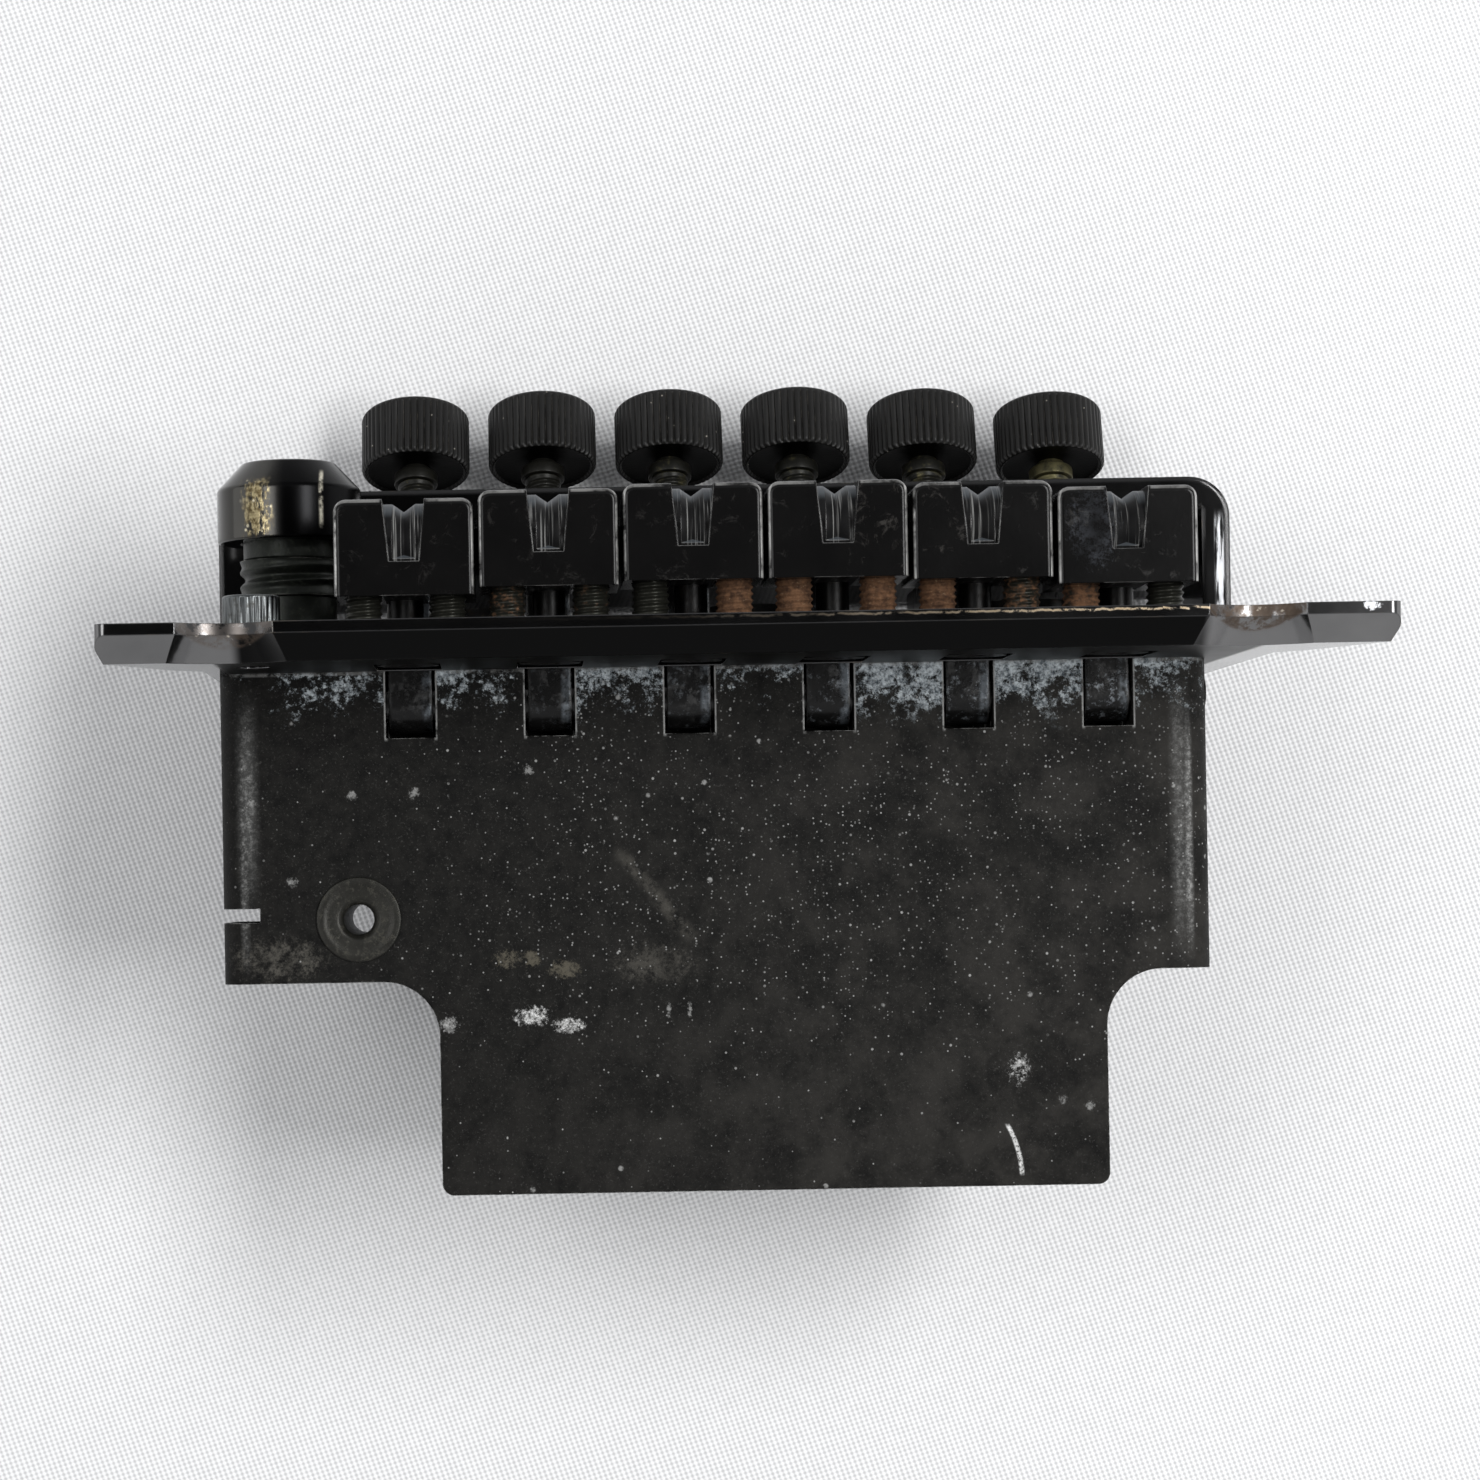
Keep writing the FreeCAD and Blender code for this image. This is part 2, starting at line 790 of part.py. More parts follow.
def string_groove(body, bend, crest_front):
    """String groove that follows the round ramp up from its ledge and runs back over the crest."""
    before = body.Shape.Volume
    half = size.channel_groove * 1.1
    over = size.channel_groove_depth * 0.1

    def vee(level):
        return [(-half, level + over), (0, level - size.channel_groove_depth), (half, level + over)]

    feature = body.newObject("PartDesign::Groove", "string_groove")
    axis_level = size.channel_crest - bend
    sketch = draw(body, "string_groove", "XZ_Plane", [vee(bend)], -crest_front, shift=axis_level)
    feature.Profile = sketch
    feature.ReferenceAxis = (sketch, ["H_Axis"])
    feature.Angle = GROOVE_SWEEP
    check_cut(body, "string_groove", before)
    pocket(body, "crest_groove", "XZ_Plane", [vee(size.channel_crest)], size.saddle_depth, -crest_front)


def make_height_screws(number):
    """Two headless screws that stand on the plate and carry the saddle."""
    pair = []
    for side_name, side_sign in (("treble", -1), ("bass", 1)):
        name = f"height_screw_{number}_{side_name}"
        x = string_x(number) + side_sign * size.height_screw_spread / 2
        y = size.saddle_front + size.height_screw_back
        stem = rod(name + "_stem", size.height_screw_diameter, size.height_screw_length, x, y, size.seat)
        key_level = size.seat + size.height_screw_length - size.height_screw_key_depth
        key = hexagon(
            name + "_key", size.height_screw_key, size.height_screw_key_depth, x, y, key_level
        )
        pair.append(cut(name, stem, key))
    finish(group(f"height_screws_{number}", pair))


def make_lock_screw(number):
    """Screw from under the plate that draws the saddle down onto its height screws."""
    name = f"lock_screw_{number}"
    x = string_x(number)
    y = size.saddle_front + size.lock_screw_back
    seat_level = plate_low + size.lock_recess - size.fit
    head_level = seat_level - size.lock_head_tall
    head = rod(name + "_head", size.lock_head_diameter, size.lock_head_tall, x, y, head_level)
    reach = size.lock_screw_reach - head_level
    stem = rod(name + "_stem", size.lock_screw_diameter, reach, x, y, head_level)
    key = hexagon(name + "_key", size.height_screw_key, size.lock_head_tall / 2, x, y, head_level)
    screw = cut(name, join(name + "_blank", [head, stem]), key)
    screw.Label = name
    finish(screw)


def make_string_lever(number):
    """Bell crank: a ball-end seat behind a forked prong, and a tail under the tuner's tip."""
    body = new_body(f"string_lever_{number}")
    boss = size.lever_boss
    tail_low = size.lever_tail_low - pivot_z
    tail_high = size.lever_tail_high - pivot_z
    tail_end = lever_reach + size.lever_tail_over
    seat_high = size.ball_seat_height - pivot_z
    prong_top = size.lever_prong_top - pivot_z
    seat_front = size.lever_prong - boss
    seat_middle = seat_front + size.ball_seat_radius
    seat_rear = seat_middle + size.ball_seat_radius
    outline = [
        (-boss, 0, boss, True),
        (0, -boss, boss, True),
        (boss, 0),
        (boss, tail_low),
        (tail_end, tail_low),
        (tail_end, tail_high),
        (seat_rear + size.ball_seat_lip, tail_high),
        (seat_rear + size.ball_seat_lip, seat_high),
        (seat_rear, seat_high, size.ball_seat_radius, False),
        (seat_middle, seat_high - size.ball_seat_radius, size.ball_seat_radius, False),
        (seat_front, seat_high),
        (seat_front, prong_top),
        (-boss, prong_top),
    ]
    half = size.lever_width / 2
    pad(body, "crank", "YZ_Plane", [outline], size.lever_width, -half)
    soften(body, "crank_root", lambda p: near(p.y, boss) and near(p.z, tail_low), size.lever_round)
    soften(
        body, "prong_nose", lambda p: near(p.y, -boss) and near(p.z, prong_top), size.lever_round / 2
    )
    bore = [circle(0, 0, size.shaft_diameter / 2 + size.fit)]
    pocket(body, "lever_bore", "YZ_Plane", bore, size.lever_width, half)
    gap = [
        rectangle(
            size.string_gap / -2, size.string_gap / 2, seat_high - size.string_gap_depth, prong_top
        )
    ]
    pocket(body, "string_fork", "XZ_Plane", gap, seat_middle + boss, boss)
    place(body, string_x(number), pivot_y, pivot_z, lever_angle(number))
    finish(body)


def make_lever_spring(number):
    """Leaf that keeps the lever's tail up against the tuner."""
    body = new_body(f"lever_spring_{number}")
    sunk = (size.spring_reach - pivot_y) * tangent(lever_angle(number))
    tip = size.lever_tail_low - size.clearance - sunk
    bend = size.spring_start + size.spring_flat
    leaf = [
        (size.spring_start, 0),
        (bend, 0),
        (size.spring_reach, tip - size.spring_leaf),
        (size.spring_reach, tip),
        (bend, size.spring_leaf),
        (size.spring_start, size.spring_leaf),
    ]
    pad(body, "leaf", "YZ_Plane", [leaf], size.spring_width, size.spring_width / -2)
    hole = [circle(0, spring_screw_back, size.spring_screw_diameter / 2 + size.fit)]
    pocket(body, "leaf_hole", "XY_Plane", hole, size.spring_leaf, size.spring_leaf)
    place(body, string_x(number), 0, 0)
    finish(body)


def make_spring_screws():
    """Small screws that hold the six leaves to the plate."""
    screws = []
    for number in STRINGS:
        name = f"spring_screw_{number}"
        x = string_x(number)
        y = spring_screw_back
        low = plate_low + size.clearance
        stem = rod(name + "_stem", size.spring_screw_diameter, size.spring_leaf - low, x, y, low)
        head = rod(
            name + "_head", size.spring_screw_head, size.spring_screw_head_tall, x, y, size.spring_leaf
        )
        screws.append(join(name, [stem, head]))
    finish(group("spring_screws", screws))


def tuner_place(piece, number):
    """Along the tuner's axis, as far in as this tuner is set."""
    sunk = tuner_set(number)
    y = size.tuner_tip_back - sunk * sine(size.tuner_lean)
    z = size.lever_tail_high + size.tip_gap - sunk * cosine(size.tuner_lean)
    place(piece, string_x(number), y, z, size.tuner_lean)


def make_tuner_stud(number):
    """Threaded stud whose round tip presses on the lever's tail."""
    body = new_body(f"tuner_stud_{number}")
    radius = size.tuner_diameter / 2
    stem = radius - size.clearance
    collar = size.tuner_collar_diameter / 2
    shoulder = size.tuner_length - size.tuner_collar_tall
    top = size.tuner_length + size.tuner_stem
    profile = [
        (0, 0, radius, True),
        (radius, radius),
        (radius, shoulder),
        (collar, shoulder),
        (collar, size.tuner_length),
        (stem, size.tuner_length),
        (stem, top),
        (0, top),
    ]
    spin(body, "stud", [profile])
    tuner_place(body, number)
    finish(body)


def ribbed(body, name, radius, depth, width, low, tall, count):
    """Straight ribs round a head, cut as equal V grooves."""
    groove = [
        (radius - depth, 0),
        (radius + depth, -width),
        (radius + depth, width),
    ]
    first = pocket(body, name, "XY_Plane", [groove], tall, low, True)
    ring = body.newObject("PartDesign::PolarPattern", name + "_ring")
    ring.Originals = [first]
    ring.Axis = (origin(body, "Z_Axis"), [""])
    ring.Angle = 360
    bind(ring, "Occurrences", count)
    body.Tip = ring
    doc.recompute()


def make_tuner_knob(number):
    """Knurled head that turns the stud."""
    body = new_body(f"tuner_knob_{number}")
    radius = size.knob_diameter / 2
    low = size.tuner_length + size.seat
    pad(body, "head", "XY_Plane", [circle(0, 0, radius)], size.knob_tall, low)
    top = low + size.knob_tall
    soften(body, "head_round", lambda p: near(p.z, top), size.knob_round)
    stem = size.tuner_diameter / 2 - size.clearance + size.fit
    depth = size.tuner_stem + size.fit
    pocket(body, "stem_hole", "XY_Plane", [circle(0, 0, stem)], depth, low, True)
    ribbed(
        body,
        "rib",
        radius,
        size.knob_rib_depth,
        size.knob_rib_width,
        low,
        size.knob_tall - size.knob_round,
        size.knob_ribs,
    )
    tuner_place(body, number)
    finish(body)


def make_arm_socket():
    """Tube for the arm, sunk in the block, with two thread rings that show below the collar."""
    body = new_body("arm_socket")
    outer = size.socket_diameter / 2
    ring = size.socket_ring_diameter / 2
    bore = size.arm_bore / 2
    low = -size.socket_bottom
    profile = [(0, low), (outer, low)]
    level = size.socket_ring_low
    for _ in SOCKET_RINGS:
        profile += [(outer, level), (ring, level)]
        level = level + size.socket_ring_tall
        profile += [(ring, level), (outer, level)]
        level = level + size.socket_ring_tall
    profile += [
        (outer, size.socket_top),
        (bore, size.socket_top),
        (bore, low + size.socket_floor),
        (0, low + size.socket_floor),
    ]
    spin(body, "tube", [profile])
    place(body, arm_x, size.arm_back, 0)
    finish(body)


def make_arm_collar():
    """Cap that screws down on the socket and squeezes the bushing on the arm."""
    body = new_body("arm_collar")
    outer = size.collar_diameter / 2
    thread = size.socket_diameter / 2 + size.fit
    mouth = size.arm_bore / 2 + size.clearance
    profile = [
        (thread, size.collar_low),
        (outer, size.collar_low),
        (outer, collar_top - size.collar_chamfer),
        (outer - size.collar_chamfer, collar_top),
        (mouth, collar_top),
        (mouth, collar_top - size.collar_lip),
        (thread, collar_top - size.collar_lip),
    ]
    spin(body, "cap", [profile])
    place(body, arm_x, size.arm_back, 0)
    finish(body)


def make_arm_bushing():
    """Plastic ring between the socket's end and the collar's lip."""
    body = new_body("arm_bushing")
    outer = size.socket_diameter / 2
    inner = size.arm_bore / 2 + size.clearance
    low = size.socket_top + size.tip_gap
    high = collar_top - size.collar_lip - size.seat
    spin(body, "ring", [[(inner, low), (outer, low), (outer, high), (inner, high)]])
    place(body, arm_x, size.arm_back, 0)
    finish(body)


def make_arm_clamp_screw():
    """Knurled socket-head screw in the plate behind the treble notch."""
    body = new_body("arm_clamp_screw")
    radius = size.clamp_head_diameter / 2
    pad(body, "cap_head", "XY_Plane", [circle(0, 0, radius)], size.clamp_head_tall)
    ribbed(
        body,
        "cap_rib",
        radius,
        size.knob_rib_depth / 2,
        size.knob_rib_width / 2,
        0,
        size.clamp_head_tall,
        size.clamp_ribs,
    )
    key = [hex_socket(size.clamp_key)]
    pocket(body, "cap_key", "XY_Plane", key, size.clamp_key_depth, size.clamp_head_tall)
    stem = size.clamp_screw_diameter / 2
    length = size.plate_thickness - size.clearance
    pad(body, "cap_stem", "XY_Plane", [circle(0, 0, stem)], length, 0, True)
    place(body, clamp_screw_x, size.clamp_screw_back, 0)
    finish(body)


def make_block_screws():
    """Cap screws that hold the block to the plate, between the strings."""
    screws = []
    for row in SCREW_ROWS:
        name = f"block_screw_{row + 3}"
        x = size.string_centre + size.string_pitch * row
        y = size.block_screw_back
        stem = rod(
            name + "_stem",
            size.block_screw_diameter,
            size.block_screw_length,
            x,
            y,
            -size.block_screw_length,
        )
        head = rod(name + "_head", size.block_head_diameter, size.block_head_tall, x, y, 0)
        key_level = size.block_head_tall - size.block_key_depth
        key = hexagon(name + "_key", size.block_key, size.block_key_depth, x, y, key_level)
        screws.append(cut(name, join(name + "_blank", [stem, head]), key))
    finish(group("block_screws", screws))


def make_block_rivet():
    """Hollow rivet through the block, with its flange on the front face."""
    body = new_body("block_rivet")
    bore = size.rivet_bore / 2
    tube = size.rivet_tube / 2
    flange = size.rivet_flange / 2
    profile = [
        (bore, -size.rivet_flange_tall),
        (flange, -size.rivet_flange_tall),
        (flange, 0),
        (tube, 0),
        (tube, size.block_depth),
        (bore, size.block_depth),
    ]
    spin(body, "rivet", [profile])
    place(body, -size.rivet_side, size.block_front, plate_low - size.rivet_drop, dim(90))
    finish(body)


def make_lever_shaft():
    """Rod through the block on which the six levers rock, and the set screw that keeps it in."""
    start = shaft_end + size.clearance
    plug_start = size.block_bass - size.plug_length
    shaft = new_body("lever_shaft")
    ring = circle(0, 0, size.shaft_diameter / 2)
    pad(shaft, "shaft_rod", "YZ_Plane", [ring], plug_start - size.seat - start)
    place(shaft, start, pivot_y, pivot_z)
    finish(shaft)
    plug = new_body("shaft_plug")
    pad(plug, "plug_rod", "YZ_Plane", [ring], size.plug_length)
    key = [hex_socket(size.height_screw_key)]
    pocket(plug, "plug_key", "YZ_Plane", key, size.plug_length / 2, size.plug_length)
    place(plug, plug_start, pivot_y, pivot_z)
    finish(plug)


make_base_plate()
make_sustain_block()
make_block_screws()
make_block_rivet()
make_lever_shaft()
make_arm_socket()
make_arm_bushing()
make_arm_collar()
make_arm_clamp_screw()
make_spring_screws()
for string_number in STRINGS:
    make_saddle(string_number)
    make_height_screws(string_number)
    make_lock_screw(string_number)
    make_string_lever(string_number)
    make_lever_spring(string_number)
    make_tuner_stud(string_number)
    make_tuner_knob(string_number)
doc.recompute()

failed = [item.Label for item in doc.Objects if {"Invalid", "Error"} & set(item.State)]
failed += [p.Label for p in pieces if p.Shape.isNull() or not p.Shape.isValid()]
if failed:
    raise RuntimeError("not built: " + ", ".join(failed))
os.makedirs("parts", exist_ok=True)
for piece in pieces:
    piece.Shape.exportStep(f"parts/{piece.Label}.step")
print(len(pieces), "pieces written")
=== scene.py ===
"""Guitar tremolo bridge: finishes, fine turned pieces, light and camera.

Lengths on the bridge are in millimetres, and those of stage, lamps and camera in metres.
"""
import math

import bpy
import numpy as np
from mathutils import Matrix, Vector


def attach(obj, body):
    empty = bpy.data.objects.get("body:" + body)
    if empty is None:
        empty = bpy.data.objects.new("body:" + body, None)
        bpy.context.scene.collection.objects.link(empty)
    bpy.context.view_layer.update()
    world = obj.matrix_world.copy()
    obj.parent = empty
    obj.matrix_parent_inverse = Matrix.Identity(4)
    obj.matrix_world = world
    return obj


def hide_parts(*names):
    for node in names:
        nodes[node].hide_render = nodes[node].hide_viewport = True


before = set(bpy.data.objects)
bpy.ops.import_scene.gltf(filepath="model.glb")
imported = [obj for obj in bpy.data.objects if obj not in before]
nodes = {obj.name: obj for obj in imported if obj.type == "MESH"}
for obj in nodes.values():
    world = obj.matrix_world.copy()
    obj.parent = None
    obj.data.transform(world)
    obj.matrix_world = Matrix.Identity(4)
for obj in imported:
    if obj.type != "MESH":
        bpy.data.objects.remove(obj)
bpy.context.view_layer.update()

MM = 0.001
STRINGS = range(1, 7)
STRING_PITCH = 10.6
STRING_CENTRE = 2.3
SADDLE_FRONT = 4.4
BLOCK_FRONT = 14.85
HEIGHT_SCREW_SIDE = 3.1
HEIGHT_SCREW_BACK = 2.9
ARM_SPOT = (-33.45, 20, 0)
CLAMP_SPOT = (-35.6, 7, 0)
RIVET_SPOT = (-28.4, BLOCK_FRONT, -21.6)
TUNER_LEAN = math.radians(20)
TUNER_LENGTH = 11.1
TUNER_TIP_BACK = 39.4
TUNER_TIP_UP = 5.05
TUNER_SET = {1: 0.3, 2: 0.0, 3: 0.05, 4: 0.05, 5: 0.4, 6: 0.9}
CAMERA_SPOT = Vector((-16.2, -265.65, -19.2)) * MM
CAMERA_ROLL = math.radians(1.03)
FOCAL_PIXELS = 3694
FRAME_PIXELS = 1480
SENSOR_WIDTH = 36
VANISHING = (519, 885)
ROUND_COLUMNS = 64
SHARP_ANGLE = math.radians(38)
BEVEL_SAMPLES = 6
CLOTH_BACK = 0.0502
CLOTH_REACH = 0.3
CARD_BACK = -0.62

# Wear, by the tooth of the block, by the string, or as spots of (x, z, width, height) on the block's front
TOOTH_OXIDE = {0: 0.42, 1: 0.36, 2: 0.62, 3: 0.16, 4: 0.95, 5: 0.95, 6: 0.6}
HEIGHT_RUST = {
    1: (0.1, 0.15), 2: (0.45, 0.4), 3: (0.15, 0.85), 4: (0.9, 0.8), 5: (0.85, 0.5), 6: (0.62, 0.25),
}
STUD_BRASS = {1: 0.35, 2: 0.3, 3: 0.5, 4: 0.45, 5: 0.5, 6: 0.8}
TAN_SPOTS = [(-17.3, -24.8, 1.4, 1.0), (-15.4, -24.8, 1.1, 0.9), (-12.9, -25.6, 1.7, 1.0)]
PALE_DOTS = [
    (24.8, -36.2, 0.5, 0.5), (26.9, -36.7, 0.5, 0.5), (-36.4, -12.7, 0.6, 0.6),
    (-28.8, -12.2, 0.7, 0.5), (-24.0, -12.1, 0.6, 0.6), (-15.3, -10.5, 0.6, 0.5),
    (-33.4, -18.7, 0.6, 0.6), (-5.0, -28.9, 0.25, 0.9), (-3.4, -28.9, 0.25, 0.9),
]


def string_x(number):
    """Where a string runs, from 1 on the treble side to 6 on the bass side."""
    return STRING_CENTRE + STRING_PITCH * (number - 3.5)


# Shapes

def grid_mesh(name, points, loop=False):
    """A surface from a grid of points, rows by columns.

    Columns run once round and the last joins the first. Each quad spans two neighbouring rows
    and columns. With loop the last row joins the first row as well, and otherwise the first and
    last rows shrink to one point each, which closes the ends with fans.
    """
    rows, columns, _ = points.shape
    index = np.arange(rows * columns).reshape(rows, columns)
    after = np.roll(index, -1, axis=1)
    flat = points.reshape(-1, 3)
    fans = []
    if loop:
        low, high = index, np.roll(index, -1, axis=0)
        low_after, high_after = after, np.roll(after, -1, axis=0)
    else:
        low, high, low_after, high_after = index[:-1], index[1:], after[:-1], after[1:]
        poles = np.array([points[0].mean(axis=0), points[-1].mean(axis=0)])
        first, last = rows * columns, rows * columns + 1
        flat = np.vstack([flat, poles])
        fans = [(first, int(b), int(a)) for a, b in zip(index[0], after[0])]
        fans += [(last, int(a), int(b)) for a, b in zip(index[-1], after[-1])]
    quads = np.stack([low, low_after, high_after, high], axis=-1).reshape(-1, 4)
    mesh = bpy.data.meshes.new(name)
    mesh.from_pydata((flat * MM).tolist(), [], quads.tolist() + fans)
    mesh.shade_smooth()
    mesh.set_sharp_from_angle(angle=SHARP_ANGLE)
    return mesh


def turned(radius, height, spot, lean=0.0):
    """Points of a turned piece.

    Row i, column j lies at radius[i, j] from the axis, at the column's share of a full turn,
    and at height[i, j] along the axis. The whole is leaned back about X and moved to its spot.
    """
    columns = max(radius.shape[1], height.shape[1])
    columns = columns if columns > 1 else ROUND_COLUMNS
    turn = np.linspace(0, 2 * np.pi, columns, endpoint=False)
    radius, height = np.broadcast_arrays(radius, height, turn[None, :])[:2]
    x = radius * np.cos(turn)
    y = radius * np.sin(turn)
    back = y * math.cos(lean) + height * math.sin(lean)
    up = height * math.cos(lean) - y * math.sin(lean)
    return np.stack([x, back, up], axis=-1) + np.array(spot)


def column(values):
    return np.asarray(values, float)[:, None]


def rounded(corners, reach=0.12, steps=4):
    """An open profile of (radius, height) corners with each inner corner cut to a short curve.

    The curve is the quadratic from a point reach before the corner to one reach after it, with
    the corner as its middle control point.
    """
    corners = np.asarray(corners, float)
    before, corner, after = corners[:-2], corners[1:-1], corners[2:]
    to_before = before - corner
    to_after = after - corner
    near = np.minimum(np.linalg.norm(to_before, axis=1), np.linalg.norm(to_after, axis=1)) * 0.45
    near = np.minimum(near, reach)[:, None]
    start = corner + to_before / np.linalg.norm(to_before, axis=1)[:, None] * near
    end = corner + to_after / np.linalg.norm(to_after, axis=1)[:, None] * near
    t = np.linspace(0, 1, steps)[:, None, None]
    curve = start * (1 - t) ** 2 + corner * 2 * t * (1 - t) + end * t ** 2
    curve = curve.transpose(1, 0, 2).reshape(-1, 2)
    return np.vstack([corners[:1], curve, corners[-1:]])


def thread(radius, pitch, depth, low, high, columns=48, per_turn=9):
    """Radius and height arrays of a screw thread.

    The radius drops by depth times a rounded wave of height over pitch minus the share of a
    turn, so its crests climb one pitch per turn. The wave fades out at both ends.
    """
    count = int(round((high - low) / pitch * per_turn)) + 2
    height = column(np.linspace(low, high, count))
    share = np.arange(columns) / columns
    wave = 0.5 - 0.5 * np.cos(2 * np.pi * (height / pitch - share))
    fade = np.clip((height - low) / pitch, 0, 1) * np.clip((high - height) / pitch, 0, 1)
    return radius - depth * wave ** 0.8 * fade, height * np.ones(columns)


def hex_radius(across, columns):
    """Distance to a hexagon's side in each direction: half its width over the cosine of the
    angle from the middle of the nearest side."""
    turn = np.linspace(0, 2 * np.pi, columns, endpoint=False)
    return across / 2 / np.cos((turn % (np.pi / 3)) - np.pi / 6)


def stack(*parts):
    """Joins profile parts, given as (radius, height) arrays of rows by columns, one on another."""
    columns = max(np.asarray(part[0]).shape[1] for part in parts)
    radius = [np.broadcast_to(r, (np.asarray(r).shape[0], columns)) for r, _ in parts]
    height = [np.broadcast_to(h, (np.asarray(h).shape[0], columns)) for _, h in parts]
    return np.vstack(radius), np.vstack(height)


def rows(*corners):
    """Plain rows of (radius, height), the same all round."""
    corners = np.asarray(corners, float)
    return column(corners[:, 0]), column(corners[:, 1])


def merge_meshes(name, meshes):
    """One mesh of several, by laying their points and faces end to end."""
    points, faces, start = [], [], 0
    for mesh in meshes:
        here = np.empty(len(mesh.vertices) * 3)
        mesh.vertices.foreach_get("co", here)
        points.append(here.reshape(-1, 3))
        faces += [[start + corner for corner in face.vertices] for face in mesh.polygons]
        start += len(mesh.vertices)
    whole = bpy.data.meshes.new(name)
    whole.from_pydata(np.vstack(points).tolist(), [], faces)
    whole.shade_smooth()
    whole.set_sharp_from_angle(angle=SHARP_ANGLE)
    return whole


def add_piece(name, mesh, finish, body, stands_for):
    """Adds a surface that rides on a body and stands for one plain solid."""
    piece = bpy.data.objects.new(name, mesh)
    bpy.context.scene.collection.objects.link(piece)
    mesh.materials.append(finish)
    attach(piece, body)
    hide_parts(stands_for)
    return piece


def mark(mesh, name, values):
    """Gives every point of a mesh one number, such as how rusty its screw is."""
    layer = mesh.attributes.new(name, "FLOAT", "POINT")
    layer.data.foreach_set("value", np.asarray(values, np.float32))


# Finishes

class Finish:
    """A node material. Each method adds a node and gives back its output, in millimetres."""

    def __init__(self, name):
        self.material = bpy.data.materials.new(name)
        self.material.use_nodes = True
        self.tree = self.material.node_tree
        self.tree.nodes.clear()
        self.shader = self.tree.nodes.new("ShaderNodeBsdfPrincipled")
        out = self.tree.nodes.new("ShaderNodeOutputMaterial")
        self.tree.links.new(self.shader.outputs[0], out.inputs[0])
        coords = self.tree.nodes.new("ShaderNodeTexCoord")
        self.normal = coords.outputs["Normal"]
        self.spot = self.add(
            "ShaderNodeVectorMath", 0, {0: coords.outputs["Object"], 3: 1000}, operation="SCALE",
        )
        split = self.tree.nodes.new("ShaderNodeSeparateXYZ")
        self.tree.links.new(self.spot, split.inputs[0])
        self.x, self.y, self.z = split.outputs
        faces = self.tree.nodes.new("ShaderNodeSeparateXYZ")
        self.tree.links.new(self.normal, faces.inputs[0])
        self.nx, self.ny, self.nz = faces.outputs

    def add(self, kind, output, inputs, **settings):
        node = self.tree.nodes.new(kind)
        for key, value in settings.items():
            setattr(node, key, value)
        for socket, value in inputs.items():
            self.feed(node.inputs[socket], value)
        return node.outputs[output]

    def feed(self, socket, value):
        if isinstance(value, bpy.types.NodeSocket):
            self.tree.links.new(value, socket)
        else:
            socket.default_value = value

    def math(self, operation, a, b=0.0, clamp=False):
        return self.add("ShaderNodeMath", 0, {0: a, 1: b}, operation=operation, use_clamp=clamp)

    def times(self, *values):
        product = values[0]
        for value in values[1:]:
            product = self.math("MULTIPLY", product, value)
        return product

    def plus(self, *values):
        total = values[0]
        for value in values[1:]:
            total = self.math("ADD", total, value)
        return total

    def most(self, *values):
        top = values[0]
        for value in values[1:]:
            top = self.math("MAXIMUM", top, value)
        return top

    def less(self, a, b):
        return self.math("SUBTRACT", a, b)

    def rest(self, value):
        return self.math("SUBTRACT", 1.0, value)

    def size_of(self, value):
        return self.math("ABSOLUTE", value)

    def step(self, value, low, high):
        """A smooth rise from 0 at low to 1 at high, or a fall where high is below low."""
        if not isinstance(low, bpy.types.NodeSocket) and high < low:
            return self.rest(self.step(value, high, low))
        inputs = {"Value": value, "From Min": low, "From Max": high}
        return self.add("ShaderNodeMapRange", 0, inputs, interpolation_type="SMOOTHSTEP")

    def band(self, value, low, high, soft):
        return self.times(
            self.step(value, low - soft, low + soft), self.step(value, high + soft, high - soft),
        )

    def grain(self, scale, detail=3.0, rough=0.55, bend=0.0, where=None):
        inputs = {"Vector": where or self.spot, "Scale": scale, "Detail": detail, "Roughness": rough}
        inputs["Distortion"] = bend
        return self.add("ShaderNodeTexNoise", 0, inputs)

    def stretch(self, x, y, z, shift=(0, 0, 0)):
        return self.add(
            "ShaderNodeMapping", 0, {"Vector": self.spot, "Location": shift, "Scale": (x, y, z)},
        )

    def specks(self, scale, width, share, where=None):
        """Small dots: near the points of a cell pattern, kept where the cell's own number is low."""
        node = self.tree.nodes.new("ShaderNodeTexVoronoi")
        self.feed(node.inputs["Vector"], where or self.spot)
        node.inputs["Scale"].default_value = scale
        pick = self.add("ShaderNodeSeparateColor", 0, {0: node.outputs["Color"]})
        if isinstance(share, bpy.types.NodeSocket):
            keep = self.math("LESS_THAN", pick, share)
        else:
            keep = self.step(pick, share, share - 0.02)
        return self.times(self.step(node.outputs["Distance"], width, width * 0.5), keep)

    def blob(self, x, z, wide, tall):
        """A ragged spot on a front face: how near a point is to the middle, plus grain, past a level."""
        across = self.math("POWER", self.math("DIVIDE", self.less(self.x, x), wide), 2.0)
        up = self.math("POWER", self.math("DIVIDE", self.less(self.z, z), tall), 2.0)
        close = self.math("SUBTRACT", 1.0, self.plus(across, up), True)
        torn = self.times(self.less(self.grain(2.4, 7, 0.85), 0.5), 4.0, self.step(close, 0, 0.3))
        return self.step(self.plus(close, torn), 0.45, 1.15)

    def from_string(self):
        """How far to the right of the nearest string's line a point is."""
        middle = self.less(self.x, STRING_CENTRE - STRING_PITCH / 2)
        return self.add(
            "ShaderNodeMath", 0, {0: middle, 1: STRING_PITCH / 2, 2: -STRING_PITCH / 2}, operation="WRAP",
        )

